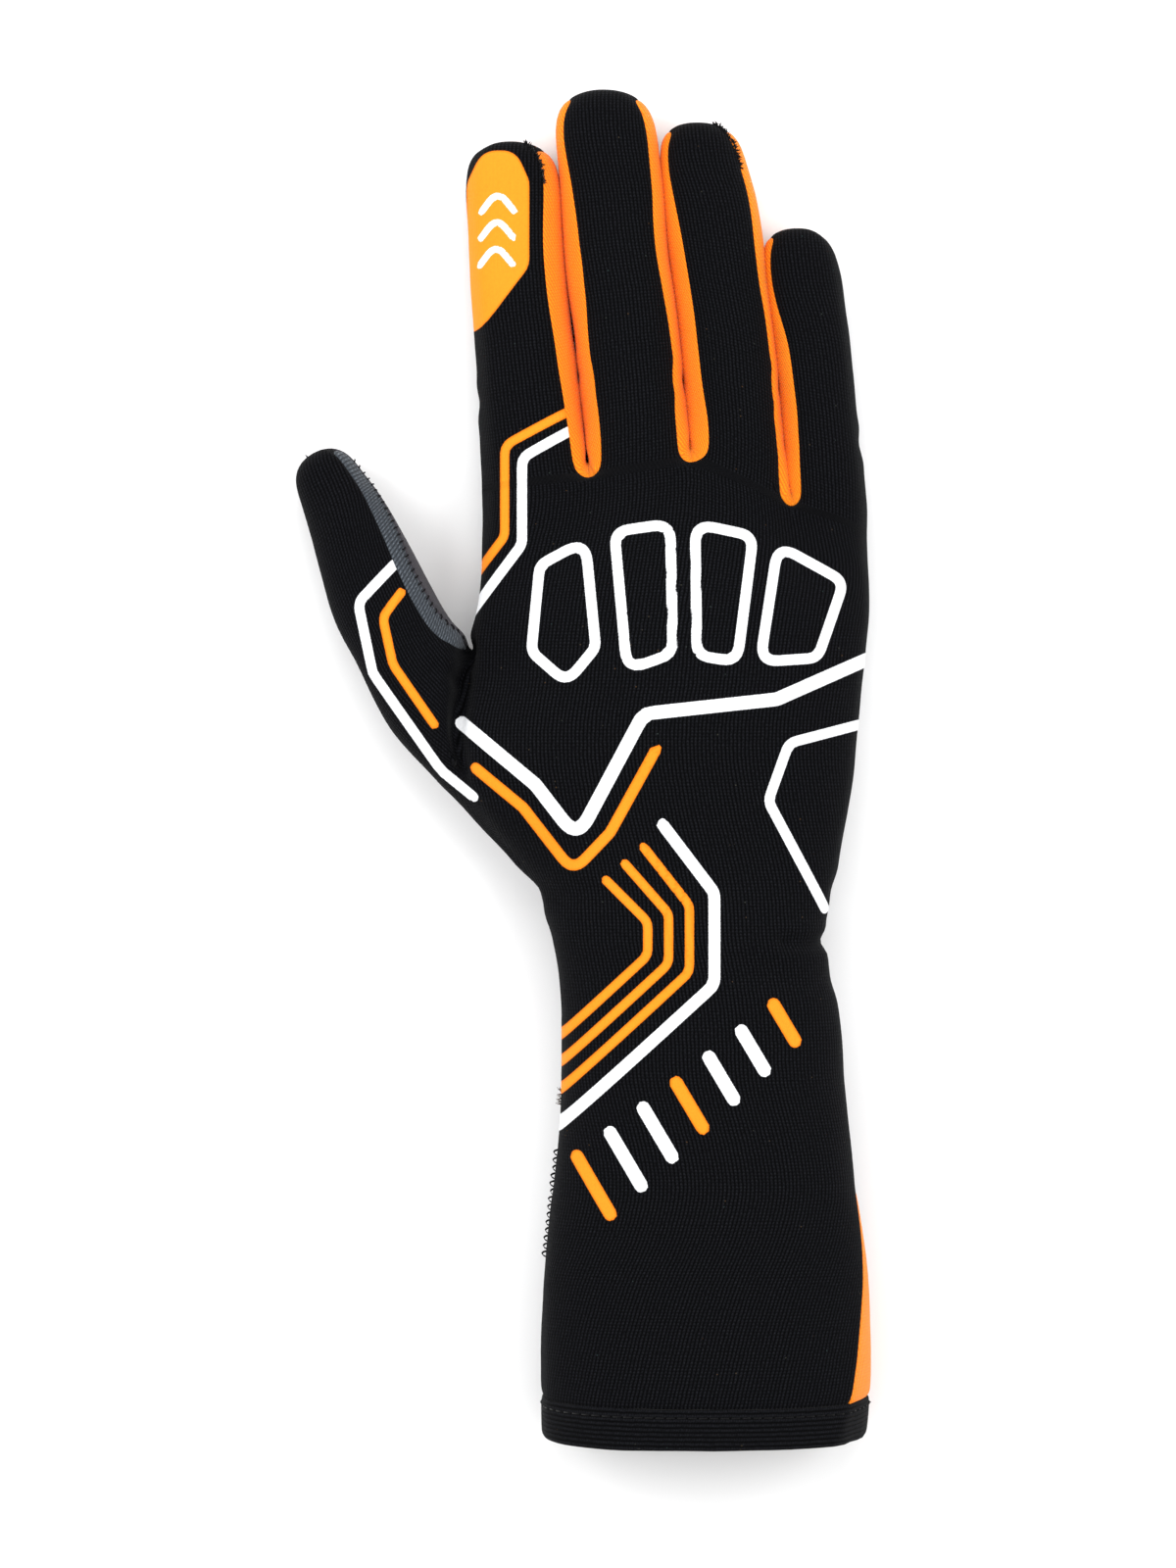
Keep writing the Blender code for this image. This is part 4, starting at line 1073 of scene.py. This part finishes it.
def make_lint_group():
    """Sparse specks of lint: a mask, and a color for each speck."""
    inputs = {"Place": "Vector", "Amount": "Float"}
    graph, given, told = new_group("lint", inputs, {"Mask": "Float", "Tint": "Color"})
    cells = graph.add("ShaderNodeTexVoronoi", {"Vector": given["Place"], "Scale": 0.9}).outputs
    parts = graph.add("ShaderNodeSeparateColor", {"Color": cells["Color"]}).outputs
    chosen = graph.math("LESS_THAN", parts[0], given["Amount"])
    small = graph.math("LESS_THAN", cells["Distance"], 0.16)
    graph.link(graph.times(chosen, small), told["Mask"])
    graph.link(graph.mix(parts[1], LINT_BROWN, LINT_GREEN), told["Tint"])
    return graph.tree


BLACK_YARN = (0.0007, 0.0007, 0.0009)
# Painted highlight on the tops of the black knit's loops; BLACK_YARN is the yarn's own black
BLACK_YARN_PAINTED_HIGHLIGHT = (0.0170, 0.0178, 0.0220)
ORANGE_YARN = (1.0, 0.295, 0.004)
# Painted shade: the deeper orange of the orange knit's hollows between its loops
ORANGE_YARN_PAINTED_SHADE = (0.74, 0.110, 0.002)
ORANGE_INK = (1.0, 0.285, 0.018)
ORANGE_INK_RIM = (0.78, 0.16, 0.004)
WHITE_INK = (0.93, 0.94, 0.96)
WHITE_INK_WORN = (0.72, 0.73, 0.76)
# Painted shade in the grey rib's hollows and painted highlight on its rib tops
GREY_YARN_PAINTED_SHADE = (0.020, 0.025, 0.032)
GREY_YARN_PAINTED_HIGHLIGHT = (0.17, 0.195, 0.225)
SUEDE_DARK = (0.014, 0.013, 0.017)
SUEDE_LIGHT = (0.062, 0.057, 0.070)
LINT_BROWN = (0.11, 0.055, 0.02)
LINT_GREEN = (0.03, 0.06, 0.06)
STITCH_BLACK = (0.005, 0.005, 0.006)
LINT_YARN = (0.16, 0.12, 0.09)
LINT_COVER = 0.45  # how much of the knit a speck of lint hides
SHEEN_ROUGHNESS = 0.45
INK_RAGGED = 0.22  # how far an ink's edge strays, and over what it fades, in millimetres
INK_FADE = 0.09
INK_RIM = (-0.55, -0.2)  # strip inside the orange ink's edge that is darker
KNIT = make_knit_group()
LINT = make_lint_group()


def new_material(name, roughness, specular, sheen):
    """A material with even values set on its shader; gives it, its graph, its shader and its cloth in mm."""
    material = bpy.data.materials.new(name)
    material.use_nodes = True
    graph = Graph(material.node_tree)
    shader = material.node_tree.nodes["Principled BSDF"]
    shader.inputs["Roughness"].default_value = roughness
    shader.inputs["Specular IOR Level"].default_value = specular
    shader.inputs["Sheen Weight"].default_value = sheen
    shader.inputs["Sheen Roughness"].default_value = SHEEN_ROUGHNESS
    return material, graph, shader, graph.in_mm(graph.add("ShaderNodeUVMap", uv_map="cloth").outputs["UV"])


def finish_material(graph, shader, color, height, depth):
    """Links a material's color and its relief, which is depth millimetres deep."""
    graph.link(color, shader.inputs["Base Color"])
    bump = graph.add("ShaderNodeBump", {"Height": height, "Distance": depth * MM, "Strength": 1.0})
    graph.link(bump.outputs["Normal"], shader.inputs["Normal"])


def with_lint(graph, color, cloth, amount):
    """The color with specks of lint over it."""
    lint = graph.group(LINT, Place=cloth, Amount=amount)
    return graph.mix(graph.times(lint["Mask"], LINT_COVER), color, lint["Tint"])


def black_knit(name):
    """Black knit of fine ribs with a painted highlight on its loop tops, with lint and the prints."""
    material, graph, shader, cloth = new_material(name, 0.8, 0.025, 0.02)
    knit = graph.group(KNIT, Cloth=cloth, Wale=0.95, Course=0.8, Slant=0.0)
    # Painted highlight: the loops' tops are mixed towards a lighter black
    color = with_lint(graph, graph.mix(knit["Shade"], BLACK_YARN, BLACK_YARN_PAINTED_HIGHLIGHT), cloth, 0.02)
    ragged = graph.math("MULTIPLY_ADD", graph.noise(cloth, 2.6, 2.0), INK_RAGGED, -INK_RAGGED / 2)
    depths, masks = {}, {}
    for ink in PRINT_COLORS:
        depth = graph.add("ShaderNodeAttribute", attribute_name=f"{ink}_print").outputs["Fac"]
        depths[ink] = graph.math("ADD", depth, ragged)
        masks[ink] = graph.ramp(depths[ink], INK_FADE, -INK_FADE)
    worn = graph.ramp(graph.noise(cloth, 1.1, 4.0, 0.75), 0.2, 0.7, 0.86, 1.0)
    rim = graph.times(graph.ramp(depths["orange"], *INK_RIM), 0.6)
    orange = graph.mix(rim, ORANGE_INK, ORANGE_INK_RIM)
    orange = graph.mix(graph.times(knit["Shade"], 0.12), orange, ORANGE_INK_RIM)
    white = graph.mix(graph.times(knit["Height"], 0.10), WHITE_INK, WHITE_INK_WORN)
    color = graph.mix(graph.times(masks["orange"], worn), color, orange)
    color = graph.mix(graph.times(masks["white"], worn), color, white)
    inked = graph.math("MAXIMUM", masks["orange"], masks["white"])
    height = graph.times(knit["Height"], graph.ramp(inked, 0.0, 1.0, 1.0, 0.35))
    height = graph.math("MULTIPLY_ADD", inked, 0.5, height)
    graph.link(graph.ramp(inked, 0.0, 1.0, 0.8, 0.55), shader.inputs["Roughness"])
    finish_material(graph, shader, color, height, 0.16)
    return material


def orange_knit(name):
    """Saturated orange knit whose loops make slanting ribs, with painted shade that deepens the orange in the
    hollows between them.
    """
    material, graph, shader, cloth = new_material(name, 0.75, 0.2, 0.1)
    knit = graph.group(KNIT, Cloth=cloth, Wale=0.95, Course=0.8, Slant=0.6)
    # Painted shade: the lower a point lies among the loops, the deeper its orange
    tone = graph.times(graph.math("SUBTRACT", 1.0, knit["Height"]), 0.9)
    finish_material(graph, shader, graph.mix(tone, ORANGE_YARN, ORANGE_YARN_PAINTED_SHADE), knit["Height"], 0.16)
    return material


def cross_ribs(name, specular, sheen, course, colors, depth, lint=None):
    """Knit with ribs across its strip, in colors for the loops' foot and top; the top's color is a painted
    highlight, and the grey rib's foot color is painted shade.
    """
    material, graph, shader, cloth = new_material(name, 0.8, specular, sheen)
    knit = graph.group(KNIT, Cloth=graph.swapped(cloth), Wale=1.15, Course=course, Slant=0.0)
    # Painted light: mixed from the foot's color to the painted highlight by the loops' painted light share
    color = graph.mix(knit["Shade"], *colors)
    if lint:
        color = with_lint(graph, color, cloth, lint)
    finish_material(graph, shader, color, knit["Height"], depth)
    return material


def grey_rib(name):
    return cross_ribs(name, 0.2, 0.1, 1.6, (GREY_YARN_PAINTED_SHADE, GREY_YARN_PAINTED_HIGHLIGHT), 0.3)


def black_rib(name):
    return cross_ribs(name, 0.03, 0.03, 0.6, (BLACK_YARN, BLACK_YARN_PAINTED_HIGHLIGHT), 0.25, lint=0.03)


def suede(name):
    """Charcoal suede, its nap brushed lighter and darker."""
    material, graph, shader, cloth = new_material(name, 0.92, 0.06, 0.1)
    brushed = graph.noise(cloth, 0.12, 4.0, 0.6)
    nap = graph.noise(cloth, 3.5, 4.0, 0.8)
    tone = graph.ramp(graph.math("MULTIPLY_ADD", nap, 0.7, graph.times(brushed, 0.5)), 0.35, 0.85)
    finish_material(graph, shader, graph.mix(tone, SUEDE_DARK, SUEDE_LIGHT), nap, 0.12)
    return material


def yarn(name, color):
    """Matt spun thread, with painted shade that makes it darker between its fibres."""
    material, graph, shader, _ = new_material(name, 0.85, 0.1, 0.1)
    place = graph.in_mm(graph.add("ShaderNodeTexCoord").outputs["Object"])
    fibres = graph.noise(place, 3.0, 3.0, 0.7)
    # Painted shade: the thread's color is darkened where its fibres' relief is low
    fibre_painted_shade = tuple(value * 0.35 for value in color)
    finish_material(graph, shader, graph.mix(graph.ramp(fibres, 0.3, 0.7), fibre_painted_shade, color), fibres, 0.04)
    return material


def finish_piece(item, material, node=None):
    item.data.materials.clear()
    item.data.materials.append(material)
    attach(item, "root")
    if node:
        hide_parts(node)


def dress_panels():
    """Cuts every panel from the skin and finishes it as cloth."""
    makers = {
        "black_knit": black_knit,
        "charcoal_suede": suede,
        "orange_knit": orange_knit,
        "grey_rib_knit": grey_rib,
        "black_rib": black_rib,
    }
    materials = {slot: make(slot) for slot, make in makers.items()}
    skin, shift = sew_skin()
    surface = bmesh.new()
    for name, slot in PANEL_SLOTS.items():
        item = cut_panel(skin, name)
        fold_cloth(item)
        surface.from_mesh(item.data)
        if name == "back_panel":
            print_back(item)
        give_wall(item, HEM_WALL if name == "hem_band" else CLOTH_WALL)
        finish_piece(item, materials[slot], name)
    skin.free()
    cloth = BVHTree.FromBMesh(surface)
    surface.free()
    return cloth, shift


# Threads, in millimetres. Stitches lie across a seam at even steps, half to each side; fuzz is loose fibres.
Stitch = namedtuple("Stitch", "step half rise slant radius")
THUMB_STITCH = Stitch(1.9, 1.1, 0.35, 0.35, 0.2)
TIP_STITCH = Stitch(1.3, 0.7, 0.35, 0.3, 0.17)
Fuzz = namedtuple("Fuzz", "step length radius")
TIP_EDGE = Fuzz(0.2, 1.6, 0.14)
TIP_FIBRES = Fuzz(0.22, 1.9, 0.15)
TUFT = Fuzz(0.16, 1.8, 0.09)
OVERLOCK_STEP, OVERLOCK_HALF, OVERLOCK_RADIUS = 1.9, 0.7, 0.26
OVERLOCK_ENDS = (-50, -77)  # distances from the wrist
TUFT_ENDS = (-35.5, -39.5)
HEM_STITCH_LEVEL, HEM_STITCH_STEP, HEM_STITCH_RADIUS = 1.9, 2.6, 0.15
OVERLOCK_REACH = (0.7, 1.2)  # heights of its loops
OVERLOCK_PARTS = 8
THREAD_SIDES = 5
THREAD_SEED = 11
FRAYED_FINGERS = (0, 2)  # index and ring
TIP_EDGE_ROWS = range(len(FINGER_PLACES) - 5, len(FINGER_PLACES) - 1)
TIP_FIBRE_ROWS = range(len(FINGER_PLACES) - 8, len(FINGER_PLACES) - 2)


def seam_places(route, cloth, step):
    """Places at even steps along a seam: a point on the cloth, the seam's way and the cloth's normal."""
    places = []
    along = step / 2
    for start, end in zip(route, route[1:]):
        length = (end - start).length
        if length == 0:
            continue
        way = (end - start) / length
        while along < length:
            spot, normal, _, _ = cloth.find_nearest(start + way * along)
            places.append((spot, way, normal))
            along += step
        along -= length
    return places


def lay_thread(threads, points, radii):
    """A thread through points: a capped circle that is extruded from each point to the next."""
    made = bmesh.ops.create_circle(threads, segments=THREAD_SIDES, radius=radii[0], cap_ends=True)
    circle = made["verts"]
    face = circle[0].link_faces[0]
    turn = (points[1] - points[0]).to_track_quat("Z", "Y").to_matrix()
    bmesh.ops.rotate(threads, verts=circle, matrix=turn)
    bmesh.ops.translate(threads, verts=circle, vec=points[0])
    for i in range(1, len(points)):
        made = bmesh.ops.extrude_face_region(threads, geom=[face])["geom"]
        ring = [part for part in made if isinstance(part, bmesh.types.BMVert)]
        face = next(part for part in made if isinstance(part, bmesh.types.BMFace))
        bmesh.ops.translate(threads, verts=ring, vec=points[i] - points[i - 1])
        size = radii[i] / radii[i - 1]
        bmesh.ops.scale(threads, verts=ring, vec=(size,) * 3, space=Matrix.Translation(-points[i]))


def add_threads(threads, name, material):
    """Makes a piece of a group of threads."""
    bmesh.ops.recalc_face_normals(threads, faces=threads.faces[:])
    for face in threads.faces:
        face.smooth = True
    mesh = bpy.data.meshes.new(name)
    threads.to_mesh(mesh)
    threads.free()
    finish_piece(new_object(name, mesh), material)


def over_stitches(threads, places, stitch):
    """A row of short stitches that pass over a seam."""
    rise = stitch.rise * MM
    for spot, way, normal in places:
        across = way.cross(normal).normalized() + way * stitch.slant
        across = across.normalized() * (stitch.half * MM)
        way_over = (-1, 0), (-0.5, rise), (0.5, rise), (1, 0)
        points = [spot + across * share + normal * lift for share, lift in way_over]
        lay_thread(threads, points, (stitch.radius * MM,) * 4)


def raw_edge(threads, places, chance, fuzz):
    """Loose fibres that stick out along a seam, lean at random, bend once and thin out to their tips."""
    radius = fuzz.radius * MM
    for spot, way, normal in places:
        lean = Vector([chance.uniform(-1, 1) for _ in range(3)])
        ahead = (normal + way * chance.uniform(-0.9, 0.9) + lean * 0.5).normalized()
        reach = fuzz.length * MM * chance.uniform(0.4, 1.0)
        middle = spot + ahead * reach * 0.55
        tip = middle + (ahead + lean * 0.8).normalized() * reach * 0.45
        lay_thread(threads, [spot - ahead * radius, middle, tip], (radius, radius * 0.9, radius * 0.35))


def add_seam_threads(cloth, shift):
    """Stitches, raw edges and the overlocked side seam."""
    chance = random.Random(THREAD_SEED)
    black_yarn = yarn("black_yarn", STITCH_BLACK)
    orange_yarn = yarn("orange_yarn", ORANGE_YARN)
    lint_yarn = yarn("lint_yarn", LINT_YARN)

    def seam(points, step):
        return seam_places([point + shift for point in points], cloth, step * MM)

    threads = bmesh.new()
    rows = range(1, THUMB_ROW_COUNT + FOURCHETTE_CAP_RINGS)
    points = [thumb_point(THUMB_RING - 1, r) for r in rows]
    over_stitches(threads, seam(points, THUMB_STITCH.step), THUMB_STITCH)
    add_threads(threads, "thumb_seam_stitches", black_yarn)

    threads = bmesh.new()
    loose = bmesh.new()
    for f in FRAYED_FINGERS:
        points = [finger_point(f, BACK_COLUMNS, r) for r in TIP_EDGE_ROWS]
        raw_edge(threads, seam(points, TIP_EDGE.step), chance, TIP_EDGE)
        over_stitches(threads, seam(points, TIP_STITCH.step), TIP_STITCH)
        points = [finger_point(f, FINGER_PALM, r) for r in TIP_FIBRE_ROWS]
        raw_edge(loose, seam(points, TIP_FIBRES.step), chance, TIP_FIBRES)
    add_threads(threads, "fingertip_raw_edges", black_yarn)
    add_threads(loose, "fingertip_orange_fibres", orange_yarn)

    threads = bmesh.new()
    start, end = (place * MM for place in OVERLOCK_ENDS)
    levels = [lerp(start, end, i / OVERLOCK_PARTS) for i in range(OVERLOCK_PARTS + 1)]
    points = [hand_surface(LEFT_MIDDLE, level) for level in levels]
    for spot, way, normal in seam(points, OVERLOCK_STEP):
        reach = chance.uniform(*OVERLOCK_REACH) * MM
        points = []
        for share in (-1, -0.6, 0, 0.6, 1):
            points.append(spot + way * share * OVERLOCK_HALF * MM + normal * reach * (1 - share * share))
        lay_thread(threads, points, (OVERLOCK_RADIUS * MM,) * 5)
    add_threads(threads, "side_overlock", black_yarn)
    threads = bmesh.new()
    points = [hand_surface(LEFT_MIDDLE, place * MM) for place in TUFT_ENDS]
    raw_edge(threads, seam(points, TUFT.step), chance, TUFT)
    add_threads(threads, "side_tuft", lint_yarn)

    threads = bmesh.new()
    level = HEM_LINE - HEM_STITCH_LEVEL * MM
    points = [hand_surface(column % HAND_RING, level) for column in range(HAND_RING + 1)]
    for spot, way, normal in seam(points, HEM_STITCH_STEP):
        points = [spot + way * share * MM + normal * rise * MM for share, rise in ((-1, 0), (0, 0.1), (1, 0))]
        lay_thread(threads, points, (HEM_STITCH_RADIUS * MM,) * 3)
    add_threads(threads, "hem_stitches", black_yarn)


# The camera looks straight down from CAMERA_HEIGHT over the level whose scale was measured
CAMERA_HEIGHT = 1.4
SENSOR_HEIGHT = 36.0
VIEW_LEVEL = 20 * MM
VIEW_HEIGHT = 379.8 * MM  # what the picture's height takes in at that level
VIEW_CENTRE = (0.65 * MM, -2.85 * MM)
FLOOR_REACH = 1.5
FLOOR_DROP = 0.0002  # keeps the floor just clear of the cloth
FLOOR_PAINT = (0.95, 0.95, 0.95, 1)
SKY_STRENGTH = 0.85
SOFTBOX_WIDTH = 0.8
SOFTBOXES = (
    ("left_softbox", (-0.9, 0.25, 0.9), 9),
    ("right_softbox", (0.9, 0.15, 0.9), 8),
    ("top_softbox", (0.0, 0.9, 1.0), 6),
)


def make_floor():
    mesh = bpy.data.meshes.new("floor")
    ground = bmesh.new()
    bmesh.ops.create_grid(ground, x_segments=1, y_segments=1, size=FLOOR_REACH)
    bmesh.ops.translate(ground, verts=ground.verts[:], vec=(0, 0, cad_low.z - FLOOR_DROP))
    ground.to_mesh(mesh)
    ground.free()
    material = bpy.data.materials.new("floor_paint")
    material.use_nodes = True
    shader = material.node_tree.nodes["Principled BSDF"]
    shader.inputs["Base Color"].default_value = FLOOR_PAINT
    shader.inputs["Roughness"].default_value = 0.9
    mesh.materials.append(material)
    new_object("floor", mesh)


def make_stage():
    """Pale floor, soft lights and the camera straight above."""
    make_floor()
    scene = bpy.context.scene
    scene.view_settings.view_transform = "Standard"
    world = bpy.data.worlds.new("studio")
    scene.world = world
    world.use_nodes = True
    background = world.node_tree.nodes["Background"]
    background.inputs["Color"].default_value = (1, 1, 1, 1)
    background.inputs["Strength"].default_value = SKY_STRENGTH
    for name, place, power in SOFTBOXES:
        light = bpy.data.lights.new(name, "AREA")
        light.energy = power
        light.shape = "SQUARE"
        light.size = SOFTBOX_WIDTH
        lamp = new_object(name, light)
        lamp.location = place
        lamp.rotation_euler = (-Vector(place)).to_track_quat("-Z", "Y").to_euler()

    camera = bpy.data.cameras.new("camera")
    camera.sensor_fit = "VERTICAL"
    camera.sensor_height = SENSOR_HEIGHT
    camera.lens = SENSOR_HEIGHT * CAMERA_HEIGHT / VIEW_HEIGHT
    camera.clip_start, camera.clip_end = 0.05, 20
    eye = new_object("camera", camera)
    eye.location = (*VIEW_CENTRE, VIEW_LEVEL + CAMERA_HEIGHT)
    scene.camera = eye


sewn_cloth, sewn_shift = dress_panels()
add_seam_threads(sewn_cloth, sewn_shift)
make_stage()
